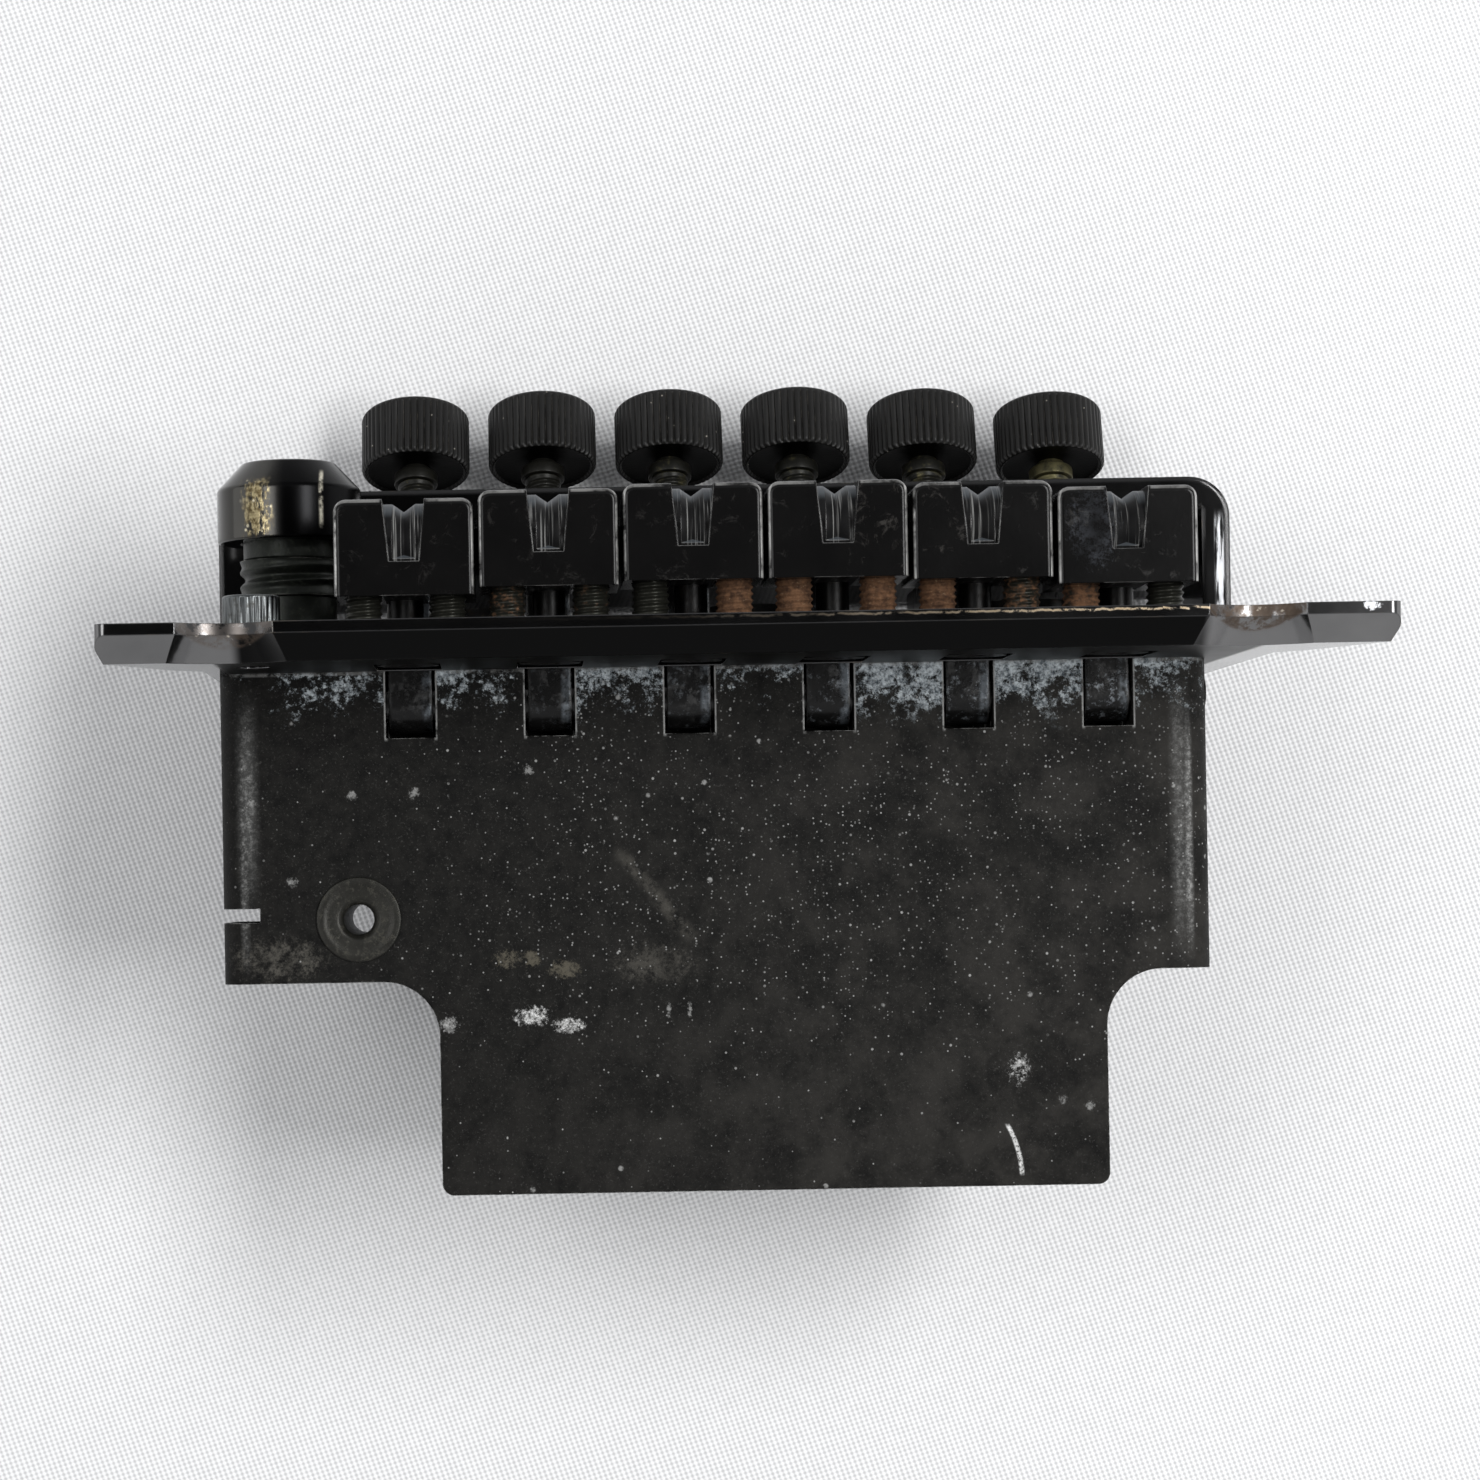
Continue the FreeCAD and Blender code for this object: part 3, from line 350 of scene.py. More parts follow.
    def edges(self, radius):
        """1 at corners, from how far the normal turns within radius of the point, else 0."""
        soft = self.add("ShaderNodeBevel", 0, {"Radius": radius * MM}, samples=BEVEL_SAMPLES)
        plain = self.tree.nodes.new("ShaderNodeNewGeometry").outputs["Normal"]
        same = self.add("ShaderNodeVectorMath", 1, {0: soft, 1: plain}, operation="DOT_PRODUCT")
        return self.step(same, 0.99, 0.86)

    def blend(self, share, a, b):
        """A colour from a, at share 0, to b, at share 1. The node takes colours in sockets 6 and 7."""
        node = self.tree.nodes.new("ShaderNodeMix")
        node.data_type = "RGBA"
        self.feed(node.inputs[0], share)
        for socket, colour in ((6, a), (7, b)):
            plain = not isinstance(colour, bpy.types.NodeSocket)
            self.feed(node.inputs[socket], (*colour, 1.0) if plain else colour)
        return node.outputs[2]

    def between(self, share, a, b):
        return self.add("ShaderNodeMapRange", 0, {"Value": share, "To Min": a, "To Max": b})

    def bumped(self, height, depth, strength=1.0, edge=None):
        """Surface relief, over corners softened by an edge radius in metres where one is given."""
        inputs = {"Height": height, "Distance": depth * MM, "Strength": strength}
        if edge is not None:
            inputs["Normal"] = self.add("ShaderNodeBevel", 0, {"Radius": edge}, samples=BEVEL_SAMPLES)
        self.feed(self.shader.inputs["Normal"], self.add("ShaderNodeBump", 0, inputs))

    def done(self, colour, roughness, metallic=1.0, **others):
        self.feed(self.shader.inputs["Base Color"], colour)
        self.feed(self.shader.inputs["Roughness"], roughness)
        self.feed(self.shader.inputs["Metallic"], metallic)
        for name, value in others.items():
            self.feed(self.shader.inputs[name.replace("_", " ")], value)
        return self.material


def black_chrome():
    """Base plate: glossy black plating, worn to a wavy golden line along the front top edge, with
    brown rust where the knife edges bear on their posts. Its tone is painted lighter towards the
    bass side. The front bevel above the block, the underside and the arch's downward faces carry
    painted shade. A pale band down the arch's bass end and a spot on the bass tip are painted highlights."""
    f = Finish("plate_black_chrome")
    cloudy = f.grain(0.16, 4)
    fine = f.grain(2.2, 3)
    patchy = f.grain(0.35, 5, 0.65)
    wave = f.times(f.less(f.grain(0.9, 4, 0.6, where=f.stretch(1, 0, 0)), 0.5), 0.5)
    height = f.plus(f.z, wave)
    front = f.step(f.y, -1.55, -1.7)
    along = f.times(f.step(f.x, -30, 34), f.step(f.x, -50, 10), f.step(f.x, 36.5, 34))
    line = f.times(
        front, f.band(height, -0.34, -0.16, 0.06), along, f.step(f.grain(1.3, 5, 0.7), 0.38, 0.5),
    )
    worn = f.times(f.edges(0.16), f.step(patchy, 0.54, 0.68), 0.35)
    across = f.size_of(f.less(f.size_of(f.x), 37))
    sag = f.plus(-1.95, f.times(across, across, 0.106))
    notch = f.times(
        f.step(across, 3.75, 3.45), f.step(f.y, -1.72, -1.6), f.step(f.y, 2.4, 1.9),
        f.step(f.less(f.z, sag), 0.0, 0.3),
    )
    rust = f.times(
        notch, f.step(f.grain(0.8, 6, 0.7), 0.36, 0.54), f.between(f.step(f.x, -20, 20), 0.45, 1.0),
    )
    # painted shade: the front bevel above the block, the plate's underside and the arch's downward faces
    # are painted near black
    shade = f.times(f.band(f.x, -36.4, 33.6, 0.5), f.step(f.z, -0.8, -0.9), f.step(f.y, 3, 2))
    under = f.times(f.step(f.nz, -0.7, -0.9), f.step(f.z, -2.5, -2.7), f.band(f.x, -38, 38, 0.3))
    arch = f.step(f.y, 20, 25)
    shade = f.most(shade, under, f.times(arch, f.step(f.nz, -0.5, -0.8)))
    # painted highlight: a pale band down the arch's bass end and a spot on the front of the bass tip,
    # standing in for lamp reflections
    painted_highlight = f.times(
        arch, f.band(f.x, 39.4, 40.1, 0.14), f.band(f.z, 1.0, 9.0, 0.8),
        f.step(f.grain(1, 4, where=f.stretch(3, 1, 0.3)), 0.34, 0.6),
    )
    painted_highlight = f.most(f.times(painted_highlight, 0.6), f.times(front, f.blob(45.1, -0.3, 0.9, 0.5)))
    glint = f.times(notch, f.step(f.grain(1.4, 4), 0.66, 0.76))
    dust = f.times(f.step(f.nz, 0.5, 0.95), f.step(f.grain(0.5, 6, 0.7), 0.5, 0.75))
    # painted light: the plating's tone rises towards the bass side, as if lit from there
    painted_bass_light = f.between(f.step(f.x, -45, 45), 0.7, 1.0)
    colour = f.blend(f.times(cloudy, painted_bass_light), (0.09, 0.09, 0.092), (0.19, 0.188, 0.188))
    colour = f.blend(shade, colour, (0.0045, 0.0045, 0.0045))
    colour = f.blend(f.times(arch, 0.55), colour, (0.02, 0.02, 0.02))
    colour = f.blend(f.times(dust, 0.5), colour, (0.14, 0.125, 0.1))
    colour = f.blend(f.most(line, worn), colour, f.blend(fine, (0.32, 0.22, 0.11), (0.5, 0.43, 0.33)))
    colour = f.blend(f.times(rust, 0.92), colour, f.blend(fine, (0.055, 0.038, 0.027), (0.15, 0.115, 0.09)))
    colour = f.blend(glint, colour, (0.55, 0.5, 0.42))
    colour = f.blend(painted_highlight, colour, (0.7, 0.72, 0.75))
    rough = f.plus(
        f.between(cloudy, 0.06, 0.16), f.times(f.most(line, worn), 0.2), f.times(rust, 0.45),
        f.times(f.most(dust, under), 0.3), f.times(painted_highlight, 0.5),
    )
    f.bumped(
        f.plus(f.times(fine, 0.2), f.times(rust, f.grain(3, 4))), 0.02, 0.4,
        f.between(arch, 0.12 * MM, 0.55 * MM),
    )
    return f.done(colour, rough)


def cast_block():
    """Inertia block: dull charcoal casting peppered with pale specks, with blue-white oxide
    between the lever notches, bright rubbed patches, and painted highlights down its rounded
    vertical edges, stronger on the bass side."""
    f = Finish("block_charcoal_casting")
    broad = f.grain(0.07, 4)
    cloud = f.grain(0.22, 6, 0.7)
    mottle = f.grain(0.9, 6, 0.75)
    sand = f.grain(5.5, 3, 0.7)
    front = f.step(f.ny, -0.3, -0.8)
    busy = f.times(
        f.step(f.x, -30, -4), f.step(f.z, -36, -20), f.step(f.plus(broad, f.times(cloud, 0.6)), 0.5, 0.85),
    )
    tiny = f.times(f.specks(3.1, 0.27, f.between(busy, 0.04, 0.5)), f.step(f.grain(1.9, 2), 0.3, 0.66))
    small = f.times(f.specks(1.35, 0.18, f.between(busy, 0.02, 0.38)), f.step(f.grain(1.1, 2), 0.3, 0.7))
    large = f.times(f.specks(0.45, 0.12, f.between(busy, 0.04, 0.3)), f.step(f.grain(2.8, 4), 0.36, 0.56))
    bare = 0.18
    for tooth, weight in TOOTH_OXIDE.items():
        middle = string_x(tooth + 0.5)
        bare = f.plus(bare, f.times(f.band(f.x, middle - 5, middle + 5, 0.8), -0.22 * weight))
    top = f.times(f.step(f.z, -8.6, -5.0), front)
    torn = f.times(f.less(f.grain(3.4, 5, 0.75), 0.5), 0.7)
    crust = f.plus(f.grain(0.55, 6, 0.72), torn, f.times(f.step(f.z, -8.4, -3), 0.24))
    oxide = f.times(top, f.step(crust, f.plus(bare, 0.62), f.plus(bare, 0.76)))
    lip = f.times(front, f.step(f.z, -3.15, -2.95), f.step(f.grain(1.2, 5, 0.7), 0.4, 0.56))
    # painted highlight: pale gritty bands down the block's rounded vertical edges, stronger on the bass
    # side
    turn = f.times(
        f.step(f.size_of(f.nx), 0.05, 0.17), f.step(f.size_of(f.nx), 0.4, 0.22), f.step(f.ny, -0.7, -0.8),
    )
    turn = f.times(turn, f.band(f.z, -23.5, -8.5, 3.0), f.between(f.step(f.x, -20, 20), 0.5, 0.85))
    gritty = f.step(f.grain(3.2, 5, 0.75), 0.42, 0.7)
    painted_edge_highlight = f.times(turn, f.between(gritty, 0.2, 1.0))
    edge_left = f.times(f.band(f.x, -37.1, -36.3, 0.7), f.band(f.z, -18, -7, 4.0), 0.7)
    edge_right = f.times(f.band(f.x, 33.8, 34.3, 0.7), f.band(f.z, -23, -6, 4.0), 0.75)
    painted_edge_highlight = f.most(painted_edge_highlight, f.times(f.plus(edge_left, edge_right), front, f.between(gritty, 0.25, 1.0)))
    corner = f.times(f.edges(0.14), f.step(f.grain(0.9, 5, 0.7), 0.42, 0.58))
    from_edge = f.size_of(f.less(f.size_of(f.from_string()), 1.9))
    notch = f.times(
        f.step(from_edge, 0.17, 0.05), f.step(f.z, -8.2, -7.8), front,
        f.step(f.grain(0.8, 5, 0.7), 0.34, 0.52),
    )
    notch = f.times(notch, f.band(f.x, -27.5, 32.5, 0.1))
    bright = f.most(
        f.blob(-15.4, -29.2, 1.8, 1.05), f.blob(-12.6, -29.9, 1.6, 0.8),
        f.times(f.blob(-21.7, -29.7, 1.1, 0.9), 0.5),
    )
    tan = f.most(*(f.blob(*spot) for spot in TAN_SPOTS))
    dots = f.most(*(f.blob(*spot) for spot in PALE_DOTS))
    slant = f.less(f.x, f.plus(-21.5, f.times(f.z, -0.78)))
    streak = f.times(
        f.step(f.size_of(slant), 1.1, 0.1), f.band(f.z, -23.4, -17, 0.9), f.step(mottle, 0.36, 0.6),
    )
    smudge = f.times(f.blob(-6.0, -25.4, 4.2, 2.4), f.step(cloud, 0.3, 0.6))
    corner_haze = f.times(f.blob(-34.5, -24.5, 5.5, 2.2), f.step(mottle, 0.34, 0.6))
    spot = f.times(f.blob(21.5, -33.8, 1.3, 1.6), f.step(f.grain(3.2, 4, 0.7), 0.42, 0.54))
    above = f.plus(f.z, 42.0)
    curl = f.less(f.x, f.less(21.6, f.times(above, above, 0.067)))
    scratch = f.times(
        f.step(f.size_of(curl), 0.24, 0.08), f.band(f.z, -41.8, -38.1, 0.2), f.step(sand, 0.3, 0.5), front,
    )
    colour = f.blend(f.step(mottle, 0.25, 0.75), (0.001, 0.001, 0.0009), (0.0115, 0.011, 0.0098))
    paler = f.times(
        f.step(f.plus(f.times(f.x, 0.012), f.times(f.z, -0.006)), -0.25, 0.45), f.step(cloud, 0.36, 0.66),
    )
    colour = f.blend(f.times(paler, 0.6), colour, (0.036, 0.0335, 0.03))
    colour = f.blend(f.step(sand, 0.56, 0.76), colour, (0.042, 0.041, 0.038))
    haze = f.times(f.most(f.times(smudge, 0.7), f.times(streak, 0.7), corner_haze), front)
    colour = f.blend(f.times(haze, 0.5), colour, (0.13, 0.122, 0.105))
    colour = f.blend(f.times(tan, front, 0.4), colour, (0.2, 0.18, 0.135))
    colour = f.blend(
        f.times(oxide, 0.85), colour,
        f.blend(f.step(f.grain(2.6, 5, 0.75), 0.3, 0.7), (0.025, 0.038, 0.05), (0.7, 0.76, 0.79)),
    )
    pale = f.most(
        f.times(tiny, 0.8), f.times(small, 0.85), f.times(large, 0.7), painted_edge_highlight, f.times(corner, 0.75),
        f.times(lip, 0.4),
    )
    pale = f.most(pale, f.times(dots, front, 0.6), f.times(notch, 0.9))
    colour = f.blend(pale, colour, f.blend(sand, (0.16, 0.16, 0.155), (0.56, 0.56, 0.545)))
    bright = f.times(bright, front)
    colour = f.blend(
        f.most(bright, f.times(spot, front, 0.75), scratch), colour,
        f.blend(f.step(sand, 0.3, 0.7), (0.22, 0.22, 0.21), (0.8, 0.8, 0.79)),
    )
    rough = f.plus(f.between(mottle, 0.5, 0.72), f.times(oxide, 0.15), f.times(painted_edge_highlight, -0.1))
    relief = f.plus(f.times(sand, 0.35), f.times(mottle, 0.6), f.times(small, 0.5), f.times(oxide, 0.4))
    f.bumped(relief, 0.06, 0.55, 0.3 * MM)
    return f.done(colour, rough, f.times(bright, 0.4), Specular_IOR_Level=0.11)


def saddle_black():
    """Saddles: satin black plating with silver rims, glossy string ramps and a few scuffs, with
    painted highlights down the slots, painted light on the ramps' up-facing crests and a painted
    reflection across the bass saddle's front.
    """
    f = Finish("saddle_satin_black")
    cloudy = f.grain(0.22, 4)
    fine = f.grain(3.0, 4)
    scuffs = f.step(f.grain(0.8, 6, 0.75, 0.6), 0.56, 0.7)
    across = f.from_string()
    facing = f.step(f.ny, -0.25, -0.5)
    outside = f.step(f.size_of(across), 1.6, 1.8)
    side_rim = f.times(
        f.step(f.size_of(f.nx), 0.42, 0.58), f.step(f.size_of(f.nx), 0.93, 0.78), facing, outside,
    )
    top_rim = f.times(f.step(f.nz, 0.3, 0.5), f.step(f.nz, 0.97, 0.85), facing, outside, 0.45)
    slot = f.times(
        f.step(f.size_of(across), 1.65, 1.5), f.step(f.y, SADDLE_FRONT + 0.1, SADDLE_FRONT + 0.4),
    )
    slot_rim = f.times(
        f.edges(0.1), f.step(f.size_of(across), 1.9, 1.7),
        f.step(f.y, SADDLE_FRONT + 0.7, SADDLE_FRONT + 0.4), 0.7,
    )
    # painted light: faces in the slot that turn upwards are painted a paler blue-grey
    crest = f.times(slot, f.step(f.nz, 0.55, 0.8))
    silver = f.times(f.most(side_rim, top_rim, slot_rim), f.step(f.grain(0.5, 5, 0.7), 0.34, 0.62))
    # painted highlight: pale lines running down the string slots
    painted_slot_highlights = f.times(slot, f.step(f.grain(1, 3, 0.6, where=f.stretch(6.5, 0.15, 0.08)), 0.56, 0.66))
    # painted reflection: a bluish haze of the key lamp across the bass saddle's front
    haze = f.times(f.blob(26.4, 6.4, 2.6, 4.2), facing, f.step(cloudy, 0.3, 0.6))
    ends = f.times(f.step(f.size_of(f.less(f.x, 12.9)), 6.0, 3.0), facing)
    colour = f.blend(cloudy, (0.0022, 0.0022, 0.0023), (0.0058, 0.0055, 0.0054))
    colour = f.blend(f.times(scuffs, f.plus(0.1, f.times(ends, 0.22))), colour, (0.075, 0.068, 0.06))
    colour = f.blend(f.times(haze, 0.42), colour, (0.1, 0.108, 0.125))
    colour = f.blend(f.times(slot, 0.3), colour, (0.02, 0.02, 0.021))
    colour = f.blend(f.times(painted_slot_highlights, 0.7), colour, (0.3, 0.3, 0.29))
    colour = f.blend(f.times(crest, 0.5), colour, (0.14, 0.158, 0.175))
    colour = f.blend(silver, colour, (0.48, 0.475, 0.46))
    rough = f.plus(f.between(cloudy, 0.16, 0.22), f.times(slot, 0.2), f.times(scuffs, 0.15))
    f.bumped(f.plus(f.times(fine, 0.3), f.times(painted_slot_highlights, 0.4)), 0.03, 0.5, 0.14 * MM)
    return f.done(colour, rough, f.times(silver, 0.7), Specular_IOR_Level=f.between(slot, 0.2, 0.12))


def rusted_steel(name):
    """Screws: dark steel under brown rust, as much as the point's rust number says."""
    f = Finish(name)
    rust = f.add("ShaderNodeAttribute", 2, {}, attribute_name="rust")
    flake = f.grain(1.6, 6, 0.7)
    fine = f.grain(5, 4)
    share = f.step(f.plus(flake, f.times(f.less(rust, 0.5), 1.1)), 0.42, 0.66)
    brown = f.blend(f.step(flake, 0.3, 0.7), (0.034, 0.0155, 0.008), (0.17, 0.086, 0.043))
    colour = f.blend(fine, (0.012, 0.0125, 0.011), (0.045, 0.045, 0.035))
    colour = f.blend(share, colour, brown)
    colour = f.blend(f.times(f.step(fine, 0.6, 0.75), share, 0.45), colour, (0.34, 0.235, 0.14))
    f.bumped(f.plus(f.times(flake, share), f.times(fine, 0.3)), 0.04, 0.7)
    return f.done(colour, f.between(share, 0.4, 0.85), f.between(share, 0.6, 0.0), Specular_IOR_Level=0.3)


def knurled_black():
    """Tuner heads: satin black with rib tops rubbed to grey-brown, and painted shade on faces turned down.
    """
    f = Finish("knob_knurled_black")
    cloudy = f.grain(0.5, 5, 0.65)
    fine = f.grain(4, 4)
    rubbed = f.times(f.edges(0.1), f.step(f.grain(0.9, 5, 0.7), 0.42, 0.66))
    dust = f.step(f.grain(1.5, 6, 0.75), 0.6, 0.76)
    glints = f.specks(2.2, 0.2, 0.05)
    colour = f.blend(cloudy, (0.0035, 0.0035, 0.0034), (0.009, 0.0085, 0.0076))
    colour = f.blend(f.times(dust, 0.4), colour, (0.04, 0.033, 0.024))
    colour = f.blend(f.times(rubbed, 0.6), colour, (0.2, 0.18, 0.15))
    colour = f.blend(f.times(glints, 0.7), colour, (0.4, 0.37, 0.32))
    # painted shade: faces turned down are painted near black and given less reflection
    under = f.step(f.nz, -0.5, -0.8)
    colour = f.blend(under, colour, (0.0012, 0.0012, 0.0011))
    f.bumped(f.plus(fine, f.times(cloudy, 0.5)), 0.02, 0.5)
    gloss = f.between(under, 0.3, 0.04)
    return f.done(colour, f.between(cloudy, 0.36, 0.52), f.times(rubbed, 0.4), Specular_IOR_Level=gloss)


def brassy_thread():
    """Tuner studs: black plating rubbed through to greenish brass on the thread crests."""
    f = Finish("stud_brassy_thread")
    tint = f.add("ShaderNodeAttribute", 2, {}, attribute_name="brass")
    cloudy = f.grain(1.2, 5, 0.7)
    worn = f.step(f.plus(cloudy, f.times(f.less(tint, 0.5), 0.7), f.times(f.edges(0.1), 0.2)), 0.5, 0.78)
    colour = f.blend(cloudy, (0.006, 0.006, 0.005), (0.016, 0.0155, 0.012))
    colour = f.blend(f.times(worn, 0.8), colour, f.blend(cloudy, (0.05, 0.05, 0.024), (0.22, 0.195, 0.1)))
    f.bumped(f.grain(5, 4), 0.02, 0.5)
    return f.done(colour, f.between(worn, 0.4, 0.5), f.between(worn, 0.3, 0.85), Specular_IOR_Level=0.3)


def collar_gloss():
    """Arm collar: gloss black with a golden patch worn on its treble front, its bass half painted into
    shade and a thin painted highlight line down it.
    """
    f = Finish("collar_gloss_black")
    cloudy = f.grain(0.3, 4)
    fine = f.grain(3, 4)
    patch = f.times(
        f.step(f.size_of(f.less(f.x, -35.6)), 1.5, 0.3), f.step(f.y, 18, 16.4), f.band(f.z, 7.7, 12.0, 0.4),
    )
    gold = f.times(
        patch,
        f.step(
            f.plus(f.grain(1.0, 6, 0.75, where=f.stretch(1.6, 1, 0.6)), f.times(patch, 0.12)), 0.52, 0.62,
        ),
    )
    flecks = f.times(f.specks(1.7, 0.3, 0.4), patch)
    rim = f.times(f.edges(0.25), f.step(f.grain(0.8, 5, 0.7), 0.5, 0.64))
    # painted shade: the collar's bass half is painted near black
    dark = f.step(f.x, -35.2, -33.4)
    # painted highlight: a thin pale line down the collar's bass side
    line = f.times(f.band(f.x, -30.85, -30.6, 0.1), f.step(f.y, 18, 16.4), f.band(f.z, 8.4, 12.6, 0.3))
    line = f.times(line, f.step(f.grain(1.1, 5, 0.7), 0.36, 0.56))
    colour = f.blend(cloudy, (0.044, 0.043, 0.041), (0.072, 0.07, 0.064))
    colour = f.blend(dark, colour, (0.007, 0.007, 0.0073))
    colour = f.blend(line, colour, (0.7, 0.66, 0.54))
    colour = f.blend(f.times(rim, 0.5), colour, (0.4, 0.36, 0.28))
    colour = f.blend(
        f.times(gold, 0.9), colour,
        f.blend(f.step(fine, 0.35, 0.65), (0.12, 0.085, 0.035), (0.62, 0.52, 0.3)),
    )
    colour = f.blend(flecks, colour, (0.75, 0.68, 0.5))
    f.bumped(f.plus(f.times(fine, 0.3), f.times(gold, 0.6)), 0.02, 0.4, 0.2 * MM)
    return f.done(colour, f.plus(f.between(cloudy, 0.07, 0.14), f.times(gold, 0.2), f.times(dark, 0.14)))


def dark_thread(name, low, high, dust, wear=0.7):
    """Dark plated steel with dust and a little wear on the crests."""
    f = Finish(name)
    cloudy = f.grain(0.7, 5, 0.65)
    fine = f.grain(4, 4)
    worn = f.times(f.edges(0.12), f.step(cloudy, 0.45, 0.65))
    dirt = f.step(f.grain(1.8, 6, 0.75), 0.5, 0.72)
    colour = f.blend(cloudy, low, high)
    colour = f.blend(f.times(dirt, 0.6), colour, dust)
    colour = f.blend(f.times(worn, wear), colour, (0.36, 0.35, 0.32))
    f.bumped(f.plus(fine, f.times(dirt, 0.5)), 0.025, 0.6)
    return f.done(
        colour, f.plus(f.between(cloudy, 0.3, 0.46), f.times(dirt, 0.25)), 0.5, Specular_IOR_Level=0.3,
    )


def bright_steel():
    """Arm clamp screw: bare steel cap, its knurl grimy in the grooves."""
    f = Finish("cap_bright_steel")
    cloudy = f.grain(0.8, 5, 0.65)
    fine = f.grain(5, 4)
    grime = f.step(f.grain(1.6, 6, 0.7), 0.5, 0.72)
    colour = f.blend(cloudy, (0.055, 0.06, 0.062), (0.18, 0.19, 0.192))
    colour = f.blend(f.times(grime, 0.7), colour, (0.07, 0.065, 0.055))
    f.bumped(fine, 0.02, 0.6)
    return f.done(colour, f.plus(f.between(cloudy, 0.24, 0.4), f.times(grime, 0.3)))


def lever_black():
    """String levers: black plating with bright rubbed corners, painted brighter on each lever's bass side
    as a highlight, a film of dust, and a painted reflection down the bass side of each foot.
    """
    f = Finish("lever_worn_black")
    cloudy = f.grain(0.4, 5, 0.65)
    fine = f.grain(3.5, 4)
    # rubbed corners are real wear, painted brighter on each lever's bass side as a highlight
    right = f.between(f.step(f.from_string(), -0.4, 0.6), 0.25, 1.0)
    worn = f.times(f.edges(0.3), f.step(f.grain(0.9, 5, 0.7), 0.36, 0.56), right)
    film = f.step(f.grain(1.0, 6, 0.7), 0.5, 0.72)
    frost = f.times(
        f.step(f.grain(1.4, 6, 0.75), 0.54, 0.66), f.step(f.y, 17.4, 16.4), f.step(f.x, -34, 30),
    )
    colour = f.blend(cloudy, (0.006, 0.006, 0.0063), (0.019, 0.0185, 0.018))
    colour = f.blend(f.times(film, 0.25), colour, (0.1, 0.1, 0.098))
    colour = f.blend(f.times(frost, 0.6), colour, (0.34, 0.37, 0.4))
    # painted reflection: a blue-white band down the bass side of each lever foot
    sheen = f.times(
        f.band(f.from_string(), 0.95, 1.6, 0.2), f.step(f.y, 17.4, 16.4),
        f.step(f.grain(0.6, 5, 0.7), 0.4, 0.62),
    )
    colour = f.blend(f.times(sheen, 0.6), colour, (0.24, 0.27, 0.3))
    colour = f.blend(f.times(worn, 0.85), colour, (0.46, 0.46, 0.45))
    f.bumped(f.plus(fine, film), 0.025, 0.5, 0.35 * MM)
    return f.done(colour, f.plus(f.between(cloudy, 0.2, 0.36), f.times(film, 0.2)), 0.5)


def spring_leaf():
    """Leaf springs: blued spring steel with rolling lines along the leaf."""
    f = Finish("leaf_spring_steel")
    lines = f.grain(1, 4, 0.6, where=f.stretch(9, 0.25, 9))
    cloudy = f.grain(0.6, 5)
    spots = f.step(f.grain(1.7, 6, 0.75), 0.6, 0.74)
    colour = f.blend(lines, (0.16, 0.17, 0.19), (0.34, 0.35, 0.36))
    colour = f.blend(f.times(spots, 0.7), colour, (0.24, 0.13, 0.06))
    f.bumped(lines, 0.015, 0.5)
    return f.done(colour, f.plus(f.between(cloudy, 0.24, 0.4), f.times(spots, 0.3)), 0.9)


def ring_plastic():
    """Arm bushing: off-white plastic, yellowed and a little grimy."""
    f = Finish("bushing_plastic")
    cloudy = f.grain(0.8, 5)
    grime = f.step(f.grain(1.7, 6, 0.7), 0.55, 0.75)
    colour = f.blend(cloudy, (0.62, 0.58, 0.48), (0.74, 0.71, 0.63))
    colour = f.blend(f.times(grime, 0.5), colour, (0.2, 0.17, 0.12))
    f.bumped(f.grain(4, 4), 0.02, 0.4)
    return f.done(colour, f.between(cloudy, 0.4, 0.6), 0.0)


finishes = {
    "base_plate": black_chrome(),
    "sustain_block": cast_block(),
    "saddle": saddle_black(),
    "string_lever": lever_black(),
    "lever_spring": spring_leaf(),
    "lock_screw": dark_thread(
        "lock_screw_dark", (0.0015, 0.0015, 0.0015), (0.005, 0.0048, 0.0045), (0.014, 0.01, 0.007), 0.08,
    ),
    "height_screws": rusted_steel("height_screw_rust"),
    "tuner_knob": knurled_black(),
    "tuner_stud": brassy_thread(),
    "arm_collar": collar_gloss(),
    "arm_socket": dark_thread(
        "socket_dark", (0.007, 0.008, 0.007), (0.022, 0.025, 0.02), (0.06, 0.068, 0.05),
    ),
    "arm_bushing": ring_plastic(),
    "arm_clamp_screw": bright_steel(),
    "block_rivet": dark_thread(
        "rivet_dark", (0.011, 0.0108, 0.0095), (0.033, 0.032, 0.027), (0.085, 0.08, 0.062),
    ),
    "lever_shaft": dark_thread("shaft_ground", (0.2, 0.2, 0.2), (0.34, 0.34, 0.33), (0.14, 0.12, 0.1)),
    "screws": dark_thread(
        "fastener_oxide", (0.016, 0.016, 0.016), (0.05, 0.048, 0.045), (0.12, 0.085, 0.05),
    ),
}


def finish_for(node):
    stem = node.rstrip("0123456789").rstrip("_")
    return finishes.get(stem, finishes["screws"])


for node, thing in nodes.items():
    thing.data.materials.clear()
    thing.data.materials.append(finish_for(node))


# Turned pieces

def tuner_spot(number):
    """Where a tuner's tip is: the middle setting moved down its leaned axis."""
    sunk = TUNER_SET[number]
    back = TUNER_TIP_BACK - sunk * math.sin(TUNER_LEAN)
    up = TUNER_TIP_UP - sunk * math.cos(TUNER_LEAN)
    return (string_x(number), back, up)


